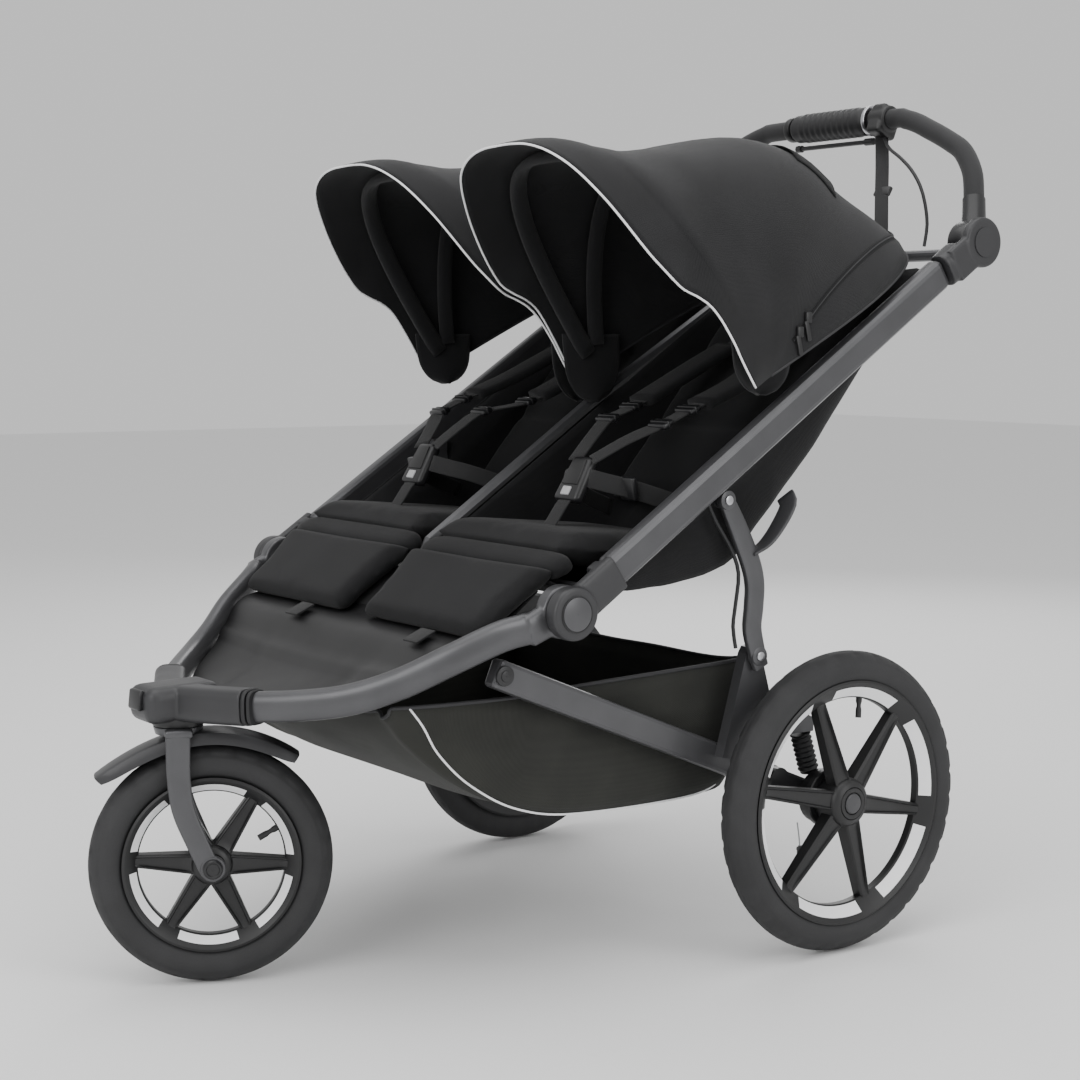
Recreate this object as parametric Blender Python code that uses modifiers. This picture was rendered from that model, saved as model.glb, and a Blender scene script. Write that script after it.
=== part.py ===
"""Side-by-side jogging stroller: three air-tyred wheels, folding frame, two seats, two canopies.

Metres, +Z up, the stroller faces -Y and its left side is +X.
Every y below is measured from the rear axle; the empty "stroller_origin" then moves the whole
stroller so that the origin is under the middle of its outline.
"""
import math

import bmesh
import bpy
from mathutils import Matrix, Vector

# ---- driving dimensions -------------------------------------------------------------------
CENTRE_Y = 0.2694                  # from the outline's middle back to the rear axle
GAP = 0.0003                       # clearance left between touching pieces

REAR_TRACK = 0.3696                # half the distance between the rear wheels
REAR_AXLE_Z = 0.200
REAR_TYRE_R = 0.200
REAR_RIM_R = 0.162
FRONT_TYRE_R = 0.152
FRONT_RIM_R = 0.1104
TYRE_TUBE_R = 0.0235
WHEEL_STEPS = 40
SPOKES = 6
AXLE_R = 0.006
BORE_R = 0.0068

STEER_Y = -0.775                   # steering axis of the front fork
TRAIL = 0.039
SWIVEL = math.radians(-24.4)       # how far the front wheel is turned at rest

TUBE_X = 0.357                     # middle of the side tubes
TUBE_W = 0.025
TUBE_D = 0.042
FOLD_Y, FOLD_Z = -0.441, 0.482     # main fold pivot
SLOPE = math.atan(0.671)           # rise of the side tubes
HANDLE_Y, HANDLE_Z = 0.240, 0.937  # handlebar height pivot
HANDLE_TILT = math.radians(67.5)
HANDLE_R = 0.0138

RAIL_X, RAIL_W, RAIL_D = 0.300, 0.024, 0.036
RAIL_Y, RAIL_Z = -0.500, 0.4055    # pivot at the rail's front end
ARM_Y, ARM_Z = -0.070, 0.229       # pivot of the suspension arm
STRUT_X, STRUT_W, STRUT_D = 0.3355, 0.012, 0.017
STRUT_Y, STRUT_Z = -0.176, 0.603   # pivot at the strut's top

SEAT_IN, SEAT_OUT = 0.014, 0.322   # inner and outer side of each seat
RECLINE_Y, RECLINE_Z = -0.125, 0.560
CANOPY_Y, CANOPY_Z = -0.140, 0.760
CANOPY_MID, CANOPY_HALF = 0.190, 0.187
PEDAL_Y, PEDAL_Z = -0.075, 0.225

SIDES = (("left", 1), ("right", -1))


# ---- scene, materials and placing ---------------------------------------------------------
for old in list(bpy.data.objects):
    bpy.data.objects.remove(old)


def new_collection(name):
    made = bpy.data.collections.new(name)
    bpy.context.scene.collection.children.link(made)
    return made


PARTS = new_collection("jogging_stroller")
CUTTERS = new_collection("cutters")


def material(name, colour, roughness, metallic=0.0):
    made = bpy.data.materials.new(name)
    made.use_nodes = True
    shader = made.node_tree.nodes["Principled BSDF"]
    shader.inputs["Base Color"].default_value = (*colour, 1.0)
    shader.inputs["Roughness"].default_value = roughness
    shader.inputs["Metallic"].default_value = metallic
    return made


FRAME_PAINT = material("frame_paint", (0.075, 0.075, 0.08), 0.38, 0.8)
PLASTIC = material("black_plastic", (0.022, 0.022, 0.024), 0.5)
RUBBER = material("tyre_rubber", (0.035, 0.035, 0.037), 0.85)
FOAM = material("grip_foam", (0.030, 0.030, 0.032), 0.8)
FABRIC = material("canopy_fabric", (0.035, 0.035, 0.037), 0.9)
LINING = material("seat_fabric", (0.028, 0.028, 0.030), 0.92)
STEEL = material("steel", (0.55, 0.55, 0.57), 0.3, 1.0)
GREY = material("grey_plastic", (0.30, 0.30, 0.32), 0.5)
WEBBING = material("webbing", (0.03, 0.03, 0.032), 0.9)


def empty_at(name, place, parent=None, turn=0.0):
    made = bpy.data.objects.new(name, None)
    bpy.context.scene.collection.objects.link(made)
    made.parent = parent
    made.location = place
    made.rotation_euler = (0, 0, turn)
    return made


ORIGIN = empty_at("stroller_origin", (0, CENTRE_Y, 0))


class Pivot:
    """An empty on a joint's axis; its pieces are modelled in the stroller's own coordinates."""

    def __init__(self, name, place, parent=None):
        self.place = Vector(place)
        base = parent.place if parent else Vector()
        self.empty = empty_at(name, self.place - base, parent.empty if parent else ORIGIN)


CHASSIS = Pivot("chassis_empty", (0, 0, 0))
FOLD = Pivot("fold_axis", (0, FOLD_Y, FOLD_Z))
RAIL_PIVOT = Pivot("rail_axis", (0, RAIL_Y, RAIL_Z))
PEDAL = Pivot("pedal_axis", (0, PEDAL_Y, PEDAL_Z), RAIL_PIVOT)
STRUT_PIVOT = Pivot("strut_axis", (0, STRUT_Y, STRUT_Z), FOLD)
HANDLE_PIVOT = Pivot("handle_axis", (0, HANDLE_Y, HANDLE_Z), FOLD)
RECLINE = Pivot("recline_axis", (0, RECLINE_Y, RECLINE_Z), FOLD)
CANOPY_PIVOT = Pivot("canopy_axis", (0, CANOPY_Y, CANOPY_Z), FOLD)
CASTER = empty_at("caster_axis", (0, STEER_Y, 0), ORIGIN, SWIVEL)


def put(thing, name, finish, pivot):
    """Names a piece, gives it its finish and hangs it on its pivot."""
    thing.name = name
    thing.data.name = name
    thing.data.materials.clear()
    thing.data.materials.append(finish)
    for old in thing.users_collection:
        old.objects.unlink(thing)
    PARTS.objects.link(thing)
    if isinstance(pivot, Pivot):
        thing.parent = pivot.empty
        thing.location = thing.location - pivot.place
    else:
        thing.parent = pivot
    return thing


# ---- modelling tools ----------------------------------------------------------------------
def mesh_object(mesh, turn=None, place=(0, 0, 0)):
    made = bpy.data.objects.new(mesh.name, mesh)
    CUTTERS.objects.link(made)
    if turn is not None:
        made.rotation_euler = turn.to_euler()
    made.location = place
    return made


def from_bmesh(bm, turn=None, place=(0, 0, 0)):
    mesh = bpy.data.meshes.new("solid")
    bmesh.ops.recalc_face_normals(bm, faces=bm.faces)
    bm.to_mesh(mesh)
    bm.free()
    return mesh_object(mesh, turn, place)


def baked(thing):
    """Replaces an object by the mesh it evaluates to, in the stroller's coordinates."""
    graph = bpy.context.evaluated_depsgraph_get()
    mesh = bpy.data.meshes.new_from_object(thing.evaluated_get(graph))
    mesh.transform(thing.matrix_world)
    bm = bmesh.new()
    bm.from_mesh(mesh)
    bmesh.ops.remove_doubles(bm, verts=bm.verts, dist=1e-6)
    bmesh.ops.recalc_face_normals(bm, faces=bm.faces)
    bm.to_mesh(mesh)
    bm.free()
    bpy.data.objects.remove(thing)
    return mesh_object(mesh)


def combined(base, others, operation="UNION"):
    """One solid: the base with the others joined to it or cut from it."""
    base = baked(base)
    others = [baked(other) for other in others]
    for other in others:
        step = base.modifiers.new("step", "BOOLEAN")
        step.operation = operation
        step.solver = "EXACT"
        step.object = other
    result = baked(base)
    for other in others:
        bpy.data.objects.remove(other)
    return result


def slab(size, place=(0, 0, 0), tilt=0.0, bevel=0.0, segments=1, turn=None):
    """A box with its edges rounded, tilted about X."""
    bm = bmesh.new()
    bmesh.ops.create_cube(bm, size=1.0)
    bmesh.ops.scale(bm, vec=size, verts=bm.verts)
    if bevel:
        bmesh.ops.bevel(bm, geom=bm.edges[:], offset=bevel, segments=segments, affect="EDGES", profile=0.5)
    return from_bmesh(bm, turn or Matrix.Rotation(tilt, 3, "X"), place)


def side_bar(start, end, x, width, depth, bevel=0.004, segments=2):
    """A straight bar between two (y, z) points in a plane of constant x."""
    run = Vector((end[0] - start[0], end[1] - start[1]))
    middle = (x, (start[0] + end[0]) / 2, (start[1] + end[1]) / 2)
    return slab((width, run.length, depth), middle, math.atan2(run.y, run.x), bevel, segments)


def disc(radius, x_low, x_high, y, z, steps=24, bevel=0.0):
    """A cylinder along X between x_low and x_high."""
    bm = bmesh.new()
    bmesh.ops.create_cone(bm, cap_ends=True, segments=steps, radius1=radius, radius2=radius,
                          depth=abs(x_high - x_low))
    if bevel:
        rim = [edge for edge in bm.edges if abs(edge.verts[0].co.z - edge.verts[1].co.z) < 1e-6]
        bmesh.ops.bevel(bm, geom=rim, offset=bevel, segments=1, affect="EDGES", profile=0.5)
    return from_bmesh(bm, Matrix.Rotation(math.pi / 2, 3, "Y"), ((x_low + x_high) / 2, y, z))


def post(radius, z_low, z_high, x=0.0, y=0.0, steps=24, top_radius=None):
    """A cylinder or cone along Z."""
    bm = bmesh.new()
    bmesh.ops.create_cone(bm, cap_ends=True, segments=steps, radius1=radius,
                          radius2=radius if top_radius is None else top_radius, depth=z_high - z_low)
    return from_bmesh(bm, None, (x, y, (z_low + z_high) / 2))


def turned(profile, steps=WHEEL_STEPS, closed=True):
    """A profile of (radius, height) points turned round Z."""
    mesh = bpy.data.meshes.new("turned")
    count = len(profile)
    edges = [(i, (i + 1) % count) for i in range(count if closed else count - 1)]
    mesh.from_pydata([(radius, 0, height) for radius, height in profile], edges, [])
    made = mesh_object(mesh)
    screw = made.modifiers.new("turn", "SCREW")
    screw.axis = "Z"
    screw.steps = screw.render_steps = steps
    screw.use_merge_vertices = True
    screw.merge_threshold = 1e-5
    screw.use_normal_calculate = True
    return made


def outline(points, x_low, x_high):
    """A flat (y, z) outline extruded between x_low and x_high."""
    curve = bpy.data.curves.new("outline", "CURVE")
    curve.dimensions = "2D"
    curve.fill_mode = "BOTH"
    curve.extrude = (x_high - x_low) / 2
    spline = curve.splines.new("POLY")
    spline.points.add(len(points) - 1)
    for point, (y, z) in zip(spline.points, points):
        point.co = (y, z, 0, 1)
    spline.use_cyclic_u = True
    made = bpy.data.objects.new("outline", curve)
    CUTTERS.objects.link(made)
    made.rotation_euler = (math.pi / 2, 0, math.pi / 2)
    made.location = ((x_low + x_high) / 2, 0, 0)
    return made


def section(width, depth, corners=3):
    """A closed rounded-rectangle curve, used as a tube's section; half its width is rounded."""
    curve = bpy.data.curves.new("section", "CURVE")
    curve.dimensions = "2D"
    spline = curve.splines.new("POLY")
    radius = min(width, depth) * 0.42
    points = []
    for quarter in range(4):
        sign_x = 1 if quarter in (0, 3) else -1
        sign_y = 1 if quarter < 2 else -1
        for step in range(corners):
            angle = math.radians(90 * quarter + 90 * step / (corners - 1))
            points.append((sign_x * (width / 2 - radius) + radius * math.cos(angle),
                           sign_y * (depth / 2 - radius) + radius * math.sin(angle)))
    spline.points.add(len(points) - 1)
    for point, (x, y) in zip(spline.points, points):
        point.co = (x, y, 0, 1)
    spline.use_cyclic_u = True
    made = bpy.data.objects.new("section", curve)
    CUTTERS.objects.link(made)
    made.hide_render = True
    made.display_type = "WIRE"
    return made


def smooth_path(points, spacing):
    """Points about spacing apart on a Catmull-Rom curve through the given points."""
    ends = [points[0]] + list(points) + [points[-1]]
    result = []
    for a, b, c, d in zip(ends, ends[1:], ends[2:], ends[3:]):
        a, b, c, d = Vector(a), Vector(b), Vector(c), Vector(d)
        steps = max(1, round((c - b).length / spacing))
        for step in range(steps):
            t = step / steps
            result.append(0.5 * (2 * b + (c - a) * t + (2 * a - 5 * b + 4 * c - d) * t * t
                                 + (3 * b - a - 3 * c + d) * t ** 3))
    result.append(Vector(points[-1]))
    return result


def tube(points, radius=0.01, profile=None, resolution=2):
    """A tube along points: round, or with the profile's section kept upright."""
    curve = bpy.data.curves.new("tube", "CURVE")
    curve.dimensions = "3D"
    curve.use_fill_caps = True
    if profile:
        curve.bevel_mode = "OBJECT"
        curve.bevel_object = profile
        curve.twist_mode = "Z_UP"
    else:
        curve.bevel_depth = radius
        curve.bevel_resolution = resolution
    spline = curve.splines.new("POLY")
    spline.points.add(len(points) - 1)
    for point, place in zip(spline.points, points):
        point.co = (*place, 1)
    made = bpy.data.objects.new("tube", curve)
    CUTTERS.objects.link(made)
    return made


def welded(tube_object, profile=None):
    """A tube as a closed mesh, ready for joining."""
    made = baked(tube_object)
    bm = bmesh.new()
    bm.from_mesh(made.data)
    bmesh.ops.remove_doubles(bm, verts=bm.verts, dist=1e-5)
    bmesh.ops.recalc_face_normals(bm, faces=bm.faces)
    bm.to_mesh(made.data)
    bm.free()
    if profile:
        bpy.data.objects.remove(profile)
    return made


def along(radius, angle, y=FOLD_Y, z=FOLD_Z):
    """The (y, z) point at a distance and angle from a pivot."""
    return (y + radius * math.cos(angle), z + radius * math.sin(angle))


def band(path, x_low, x_high, half_start, half_end):
    """A flat bar whose (y, z) outline follows a path, narrowing evenly along it."""
    front, back = [], []
    for i, point in enumerate(path):
        before, after = path[max(i - 1, 0)], path[min(i + 1, len(path) - 1)]
        run = (after - before).normalized()
        half = half_start + (half_end - half_start) * i / (len(path) - 1)
        normal = Vector((0, -run.z, run.y)) * half
        front.append((point.y + normal.y, point.z + normal.z))
        back.append((point.y - normal.y, point.z - normal.z))
    return outline(front + back[::-1], *sorted((x_low, x_high)))


# ---- wheels -------------------------------------------------------------------------------
def tyre(radius):
    bpy.ops.mesh.primitive_torus_add(major_radius=radius - TYRE_TUBE_R, minor_radius=TYRE_TUBE_R,
                                     major_segments=WHEEL_STEPS, minor_segments=10)
    return bpy.context.object


def spoke(inner, outer, angle):
    """A spoke, wider and thicker at the hub, in the wheel's own plane."""
    bm = bmesh.new()
    bmesh.ops.create_cube(bm, size=1.0)
    for vert in bm.verts:
        at_hub = vert.co.x < 0
        vert.co = Vector((inner if at_hub else outer, vert.co.y * (0.026 if at_hub else 0.017),
                          vert.co.z * (0.022 if at_hub else 0.014)))
    return from_bmesh(bm, Matrix.Rotation(angle, 3, "Z"))


def rim(radius, hub_half, recess):
    """Rim, six spokes and hub in one casting, turned round Z, outer side at +Z."""
    seat = radius - 0.0098
    inner = radius - 0.0235
    ring = turned([(radius, 0.0205), (radius, -0.0205), (inner, -0.0120), (inner - 0.003, 0.0),
                   (inner, 0.0120)])
    channel = turned([(radius + 0.004, 0.0205), (radius + 0.004, -0.0205), (radius, -0.0190),
                      (seat, -0.0095), (seat, 0.0095), (radius, 0.0190)])
    ring = combined(ring, [channel], "DIFFERENCE")
    hub = turned([(BORE_R, hub_half - recess), (0.0155, hub_half - recess), (0.0155, hub_half),
                  (0.026, hub_half), (0.033, hub_half - 0.010), (0.033, -0.018), (0.022, -hub_half),
                  (BORE_R, -hub_half)], 24)
    spokes = [spoke(0.024, inner + 0.002, math.radians(360 * i / SPOKES)) for i in range(SPOKES)]
    return combined(ring, [hub] + spokes)


def make_rear_wheels():
    for side, sign in SIDES:
        pivot = Pivot("rear_wheel_axis_" + side, (sign * REAR_TRACK, 0, REAR_AXLE_Z), ARMS[side])
        across = Matrix.Rotation(sign * math.pi / 2, 3, "Y")
        for name, made, finish in (("rear_tyre_", tyre(REAR_TYRE_R), RUBBER),
                                   ("rear_rim_", rim(REAR_RIM_R, 0.0250, 0.007), PLASTIC)):
            made.rotation_euler = across.to_euler()
            made.location = pivot.place
            put(made, name + side, finish, pivot)
        face = REAR_TRACK + 0.0250
        button = disc(0.0148, sign * (face - 0.0030), sign * (face + 0.0025), 0, REAR_AXLE_Z, 20)
        put(button, "release_button_" + side, GREY, pivot)


def make_front_wheel():
    pivot = empty_at("front_wheel_axis", (0, TRAIL, FRONT_TYRE_R), CASTER)
    across = Matrix.Rotation(math.pi / 2, 3, "Y").to_euler()
    for name, made, finish in (("front_tyre", tyre(FRONT_TYRE_R), RUBBER),
                               ("front_rim", rim(FRONT_RIM_R, 0.0255, 0.004), PLASTIC)):
        made.rotation_euler = across
        put(made, name, finish, pivot)


# ---- caster: fork, mudguard and axle, modelled round the steering axis ---------------------
LEG_X = 0.0345
CROWN_Z = 0.3190
BOSS_Z = 0.3275


def make_fork():
    legs = []
    for sign in (1, -1):
        path = smooth_path([(sign * LEG_X, 0.000, CROWN_Z + 0.004), (sign * LEG_X, -0.001, 0.265),
                            (sign * LEG_X, 0.006, 0.225), (sign * LEG_X, 0.024, 0.180),
                            (sign * LEG_X, TRAIL + 0.006, 0.136)], 0.02)
        legs.append(band(path, sign * (LEG_X - 0.005), sign * (LEG_X + 0.005), 0.0165, 0.0125))
    crown = slab((2 * LEG_X + 0.009, 0.032, BOSS_Z - CROWN_Z - GAP),
                 (0, 0, (CROWN_Z + BOSS_Z - GAP) / 2), 0, 0.0015)
    steerer = post(0.0125, BOSS_Z - 0.004, 0.372)
    fork = combined(crown, legs + [steerer])
    hole = disc(AXLE_R + GAP, -0.06, 0.06, TRAIL, FRONT_TYRE_R)
    put(combined(fork, [hole], "DIFFERENCE"), "front_fork", FRAME_PAINT, CASTER)


def make_mudguard():
    """A curved guard over the front tyre, flared at both ends."""
    outer, inner = [], []
    for degrees in range(51, 142, 6):
        angle = math.radians(degrees)
        flare = 0.166 + (0.0125 if degrees > 96 else 0.004) * abs((degrees - 96) / 45) ** 3
        outer.append(along(flare + 0.003, angle, TRAIL, FRONT_TYRE_R))
        inner.append(along(flare, angle, TRAIL, FRONT_TYRE_R))
    guard = outline(outer + inner[::-1], -0.0275, 0.0275)
    slot = slab((0.1, 0.034, 0.02), (0, 0, CROWN_Z + 0.0097))
    put(combined(guard, [slot], "DIFFERENCE"), "mudguard", PLASTIC, CASTER)


def make_front_axle():
    shaft = disc(AXLE_R, -0.0440, 0.0440, TRAIL, FRONT_TYRE_R, 16)
    heads = [disc(0.012, sign * (LEG_X + 0.005 + GAP), sign * (LEG_X + 0.0105), TRAIL, FRONT_TYRE_R, 20)
             for sign in (1, -1)]
    put(combined(shaft, heads), "front_axle", STEEL, CASTER)


# ---- chassis: hub casing, front tubes, footwell and footrests ------------------------------
FRONT_TUBE = [(0.112, -0.731, 0.3615), (0.163, -0.693, 0.3670), (0.210, -0.652, 0.3770),
              (0.250, -0.607, 0.3970), (0.288, -0.561, 0.4260), (0.320, -0.511, 0.4540),
              (0.3445, -0.4845, 0.4655)]
LUG_ANGLE = math.radians(203)


def make_hub_casing():
    nose = slab((0.068, 0.104, 0.052), (0, -0.7765, 0.3545), 0, 0.012, 2)
    boss = post(0.030, BOSS_Z, 0.345, 0, STEER_Y, 28, 0.036)
    sleeves = []
    for side, sign in SIDES:
        run = Vector((0.085, 0.040, 0.002)).normalized()
        middle = Vector((sign * 0.062, -0.7565, 0.3600))
        turn = Vector((sign * run.x, run.y, run.z)).to_track_quat("Y", "Z").to_matrix()
        sleeves.append(slab((0.040, 0.100, 0.048), middle, 0, 0.009, 2, turn))
    bore = post(0.0132, 0.320, 0.3735, 0, STEER_Y)
    pocket = slab((0.0330, 0.020, 0.0270), (0, -0.8320, 0.3650))
    casing = combined(combined(nose, [boss] + sleeves), [bore, pocket], "DIFFERENCE")
    put(casing, "hub_casing", PLASTIC, CHASSIS)
    button = slab((0.0315, 0.0070, 0.0255), (0, -0.8300, 0.3650), 0, 0.001)
    put(button, "swivel_lock_button", GREY, CHASSIS)


def make_front_tubes():
    for side, sign in SIDES:
        profile = section(0.026, 0.038)
        path = smooth_path([(sign * x, y, z) for x, y, z in FRONT_TUBE], 0.03)
        bar = welded(tube(path, profile=profile), profile)
        inner, outer = sign * (TUBE_X - 0.021), sign * (TUBE_X - GAP)
        lug = disc(0.0325, inner, outer, FOLD_Y, FOLD_Z)
        tongue = side_bar(along(0, LUG_ANGLE), along(0.052, LUG_ANGLE), (inner + outer) / 2,
                          abs(outer - inner), 0.040, 0)
        put(combined(bar, [lug, tongue]), "front_tube_" + side, FRAME_PAINT, CHASSIS)


def make_footrest():
    bar = disc(0.008, -0.280, 0.280, -0.535, 0.421, 12)
    put(bar, "footrest_crossbar", FRAME_PAINT, CHASSIS)
    slope = math.radians(39.6)
    for side, sign in SIDES:
        bm = bmesh.new()
        bmesh.ops.create_cube(bm, size=1.0)
        for vert in bm.verts:
            at_front = vert.co.y < 0
            outer = vert.co.x * sign > 0
            reach = (0.283 if at_front else 0.320) if outer else (0.022 if at_front else 0.008)
            vert.co = Vector((sign * reach, vert.co.y * 0.124, vert.co.z * 0.021))
        bmesh.ops.bevel(bm, geom=bm.edges[:], offset=0.008, segments=2, affect="EDGES", profile=0.5)
        pad = from_bmesh(bm, Matrix.Rotation(slope, 3, "X"), (0, -0.4765, 0.4860))
        put(pad, "footrest_pad_" + side, LINING, CHASSIS)


def make_footwell():
    """A thin panel between the front tubes, narrowing towards the hub."""
    rows = ((-0.512, 0.4305, 0.274), (-0.546, 0.4350, 0.262), (-0.600, 0.3880, 0.214), (-0.650, 0.3660, 0.168),
            (-0.688, 0.3500, 0.122))
    bm = bmesh.new()
    grid = [[bm.verts.new((half * t, y, z)) for t in (-1, -0.5, 0, 0.5, 1)] for y, z, half in rows]
    for low, high in zip(grid, grid[1:]):
        for i in range(4):
            bm.faces.new((low[i], low[i + 1], high[i + 1], high[i]))
    panel = from_bmesh(bm)
    wall = panel.modifiers.new("wall", "SOLIDIFY")
    wall.thickness = 0.005
    wall.offset = 0
    put(baked(panel), "footwell_panel", PLASTIC, CHASSIS)


# ---- rear chassis: rails, brackets, crossbar, suspension, basket, pedal --------------------
RAIL_ANGLE = math.atan2(REAR_AXLE_Z - RAIL_Z, -RAIL_Y)


def make_rails():
    for side, sign in SIDES:
        start = along(-0.009, RAIL_ANGLE, RAIL_Y, RAIL_Z)
        end = along(0.478, RAIL_ANGLE, RAIL_Y, RAIL_Z)
        rail = side_bar(start, end, sign * RAIL_X, RAIL_W, RAIL_D, 0.005)
        put(rail, "rail_" + side, FRAME_PAINT, RAIL_PIVOT)
        plate = outline([(-0.170, 0.270), (-0.132, 0.402), (-0.127, 0.410), (-0.117, 0.412),
                         (-0.108, 0.406), (-0.090, 0.345), (-0.012, 0.306), (-0.012, 0.2880),
                         (-0.095, 0.2880), (-0.120, 0.258)],
                        *sorted((sign * 0.3125, sign * 0.3290)))
        put(baked(plate), "rear_bracket_" + side, FRAME_PAINT, RAIL_PIVOT)
    inner = RAIL_X - RAIL_W / 2 - GAP
    put(disc(0.009, -inner, inner, PEDAL_Y, PEDAL_Z, 16), "rear_crossbar", FRAME_PAINT, RAIL_PIVOT)
    pedal = slab((0.110, 0.060, 0.009), (0, PEDAL_Y + 0.0400, PEDAL_Z), 0, 0.003)
    put(pedal, "brake_pedal", PLASTIC, PEDAL)


def make_suspension():
    for side, sign in SIDES:
        low, high = sorted((sign * 0.3165, sign * 0.3285))
        arm = side_bar((ARM_Y, ARM_Z), (0, REAR_AXLE_Z), (low + high) / 2, high - low, 0.028, 0.003, 1)
        ends = [disc(0.016, low, high, ARM_Y, ARM_Z, 20), disc(0.020, low, high, 0, REAR_AXLE_Z, 24),
                disc(0.008, *sorted((sign * 0.3123, sign * 0.3170)), ARM_Y, ARM_Z, 16),
                disc(0.036, *sorted((sign * 0.3284, sign * 0.3410)), 0, REAR_AXLE_Z, 28),
                disc(AXLE_R, *sorted((sign * 0.3400, sign * 0.3850)), 0, REAR_AXLE_Z, 16)]
        put(combined(arm, ends), "suspension_arm_" + side, PLASTIC, ARMS[side])
        ridges = []
        for i in range(5):
            ridges += [(0.0110, 0.0112 * i + 0.0030), (0.0085, 0.0112 * i + 0.0086)]
        profile = [(0, 0.0565), (0.0100, 0.0565)] + ridges[::-1] + [(0.0100, 0), (0, 0)]
        bellows = turned(profile, 16, False)
        bellows.location = (sign * 0.3173, -0.0260, 0.2305)
        put(baked(bellows), "bellows_" + side, RUBBER, ARMS[side])


def make_basket():
    """An open-topped fabric basket with sloping ends."""
    rows = ((-0.612, 0.352, 0.365, 0.236), (-0.590, 0.318, 0.366, 0.250), (-0.547, 0.273, 0.368, 0.268),
            (-0.475, 0.233, 0.371, 0.279), (-0.400, 0.212, 0.375, 0.283), (-0.300, 0.203, 0.379, 0.283),
            (-0.150, 0.205, 0.384, 0.283), (-0.112, 0.222, 0.386, 0.282), (-0.094, 0.270, 0.387, 0.281),
            (-0.072, 0.372, 0.388, 0.280))
    bm = bmesh.new()
    grid = []
    for y, bottom, top, half in rows:
        edge = [(half, top), (half, bottom + 0.30 * (top - bottom)), (half - 0.022, bottom)]
        loop = [(x, z) for x, z in edge] + [(0.0, bottom)] + [(-x, z) for x, z in edge[::-1]]
        grid.append([bm.verts.new((x, y, z)) for x, z in loop])
    for low, high in zip(grid, grid[1:]):
        for i in range(6):
            bm.faces.new((low[i], low[i + 1], high[i + 1], high[i]))
    bm.faces.new(grid[0])
    bm.faces.new(grid[-1])
    basket = from_bmesh(bm)
    wall = basket.modifiers.new("wall", "SOLIDIFY")
    wall.thickness = 0.003
    wall.offset = 0
    put(baked(basket), "basket", FABRIC, RAIL_PIVOT)


# ---- upper frame --------------------------------------------------------------------------
SLEEVE = 0.0723                    # where the side tubes start and end, from each pivot


def make_side_tubes():
    for side, sign in SIDES:
        start = along(SLEEVE, SLOPE)
        end = along(-SLEEVE, SLOPE, HANDLE_Y, HANDLE_Z)
        bar = side_bar(start, end, sign * TUBE_X, TUBE_W, TUBE_D, 0.009, 3)
        low, high = sorted((sign * 0.3225, sign * 0.3270))
        top = (STRUT_Y - 0.005, STRUT_Z + 0.040)
        lug = side_bar(top, (STRUT_Y, STRUT_Z), (low + high) / 2, high - low, 0.022, 0)
        eye = disc(0.0112, low, high, STRUT_Y, STRUT_Z, 16)
        bridge = slab((0.0255, 0.0245, 0.018), (sign * 0.33475, STRUT_Y - 0.005, STRUT_Z + 0.040))
        put(combined(bar, [lug, eye, bridge]), "side_tube_" + side, FRAME_PAINT, FOLD)


def make_fold_housings():
    for side, sign in SIDES:
        low, high = sorted((sign * (TUBE_X + GAP), sign * (TUBE_X + 0.0215)))
        inner, outer = sorted((sign * (TUBE_X - 0.0145), sign * (TUBE_X + 0.0155)))
        shell = disc(0.0325, low, high, FOLD_Y, FOLD_Z, 32, 0.003)
        tongue = side_bar(along(0, SLOPE), along(0.056, SLOPE), (low + high) / 2 - sign * 0.002,
                          high - low - 0.004, 0.044, 0)
        sleeve = side_bar(along(0.050, SLOPE), along(SLEEVE - GAP, SLOPE), (inner + outer) / 2,
                          outer - inner, 0.046, 0.004, 1)
        put(combined(shell, [tongue, sleeve]), "fold_housing_" + side, PLASTIC, FOLD)


def make_handle_casings():
    for side, sign in SIDES:
        low, high = sorted((sign * 0.3660, sign * 0.3800))
        inner, outer = sorted((sign * (TUBE_X - 0.0145), sign * (TUBE_X + 0.0210)))
        shell = disc(0.0340, low, high, HANDLE_Y, HANDLE_Z, 32, 0.002)
        sleeve = side_bar(along(-0.0335, SLOPE, HANDLE_Y, HANDLE_Z),
                          along(-SLEEVE + GAP, SLOPE, HANDLE_Y, HANDLE_Z),
                          (inner + outer) / 2, outer - inner, 0.046, 0.004, 1)
        web = side_bar((HANDLE_Y, HANDLE_Z), along(-0.040, SLOPE, HANDLE_Y, HANDLE_Z),
                       (low + high) / 2 - sign * 0.001, high - low - 0.004, 0.043, 0)
        recess = disc(0.0205, *sorted((sign * 0.3735, sign * 0.3900)), HANDLE_Y, HANDLE_Z, 28)
        casing = combined(combined(shell, [sleeve, web]), [recess], "DIFFERENCE")
        put(casing, "handle_casing_" + side, PLASTIC, FOLD)
        button = disc(0.0200, *sorted((sign * 0.3772, sign * 0.3815)), HANDLE_Y, HANDLE_Z, 28)
        put(button, "height_button_" + side, PLASTIC, FOLD)


def make_seat_frame():
    """Two crossbars with the tube that divides the seats between them."""
    top = disc(0.008, -0.3420, 0.3420, 0.200, 0.920, 14)
    bottom = disc(0.009, -0.3421, 0.3421, -0.3950, 0.5020, 14)
    divider = welded(tube([(0, 0.200, 0.920), (0, -0.139, 0.716), (0, -0.405, 0.536),
                           (0, -0.412, 0.522), (0, -0.395, 0.502)], 0.009))
    put(combined(top, [divider, bottom]), "seat_frame", FRAME_PAINT, FOLD)


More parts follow.
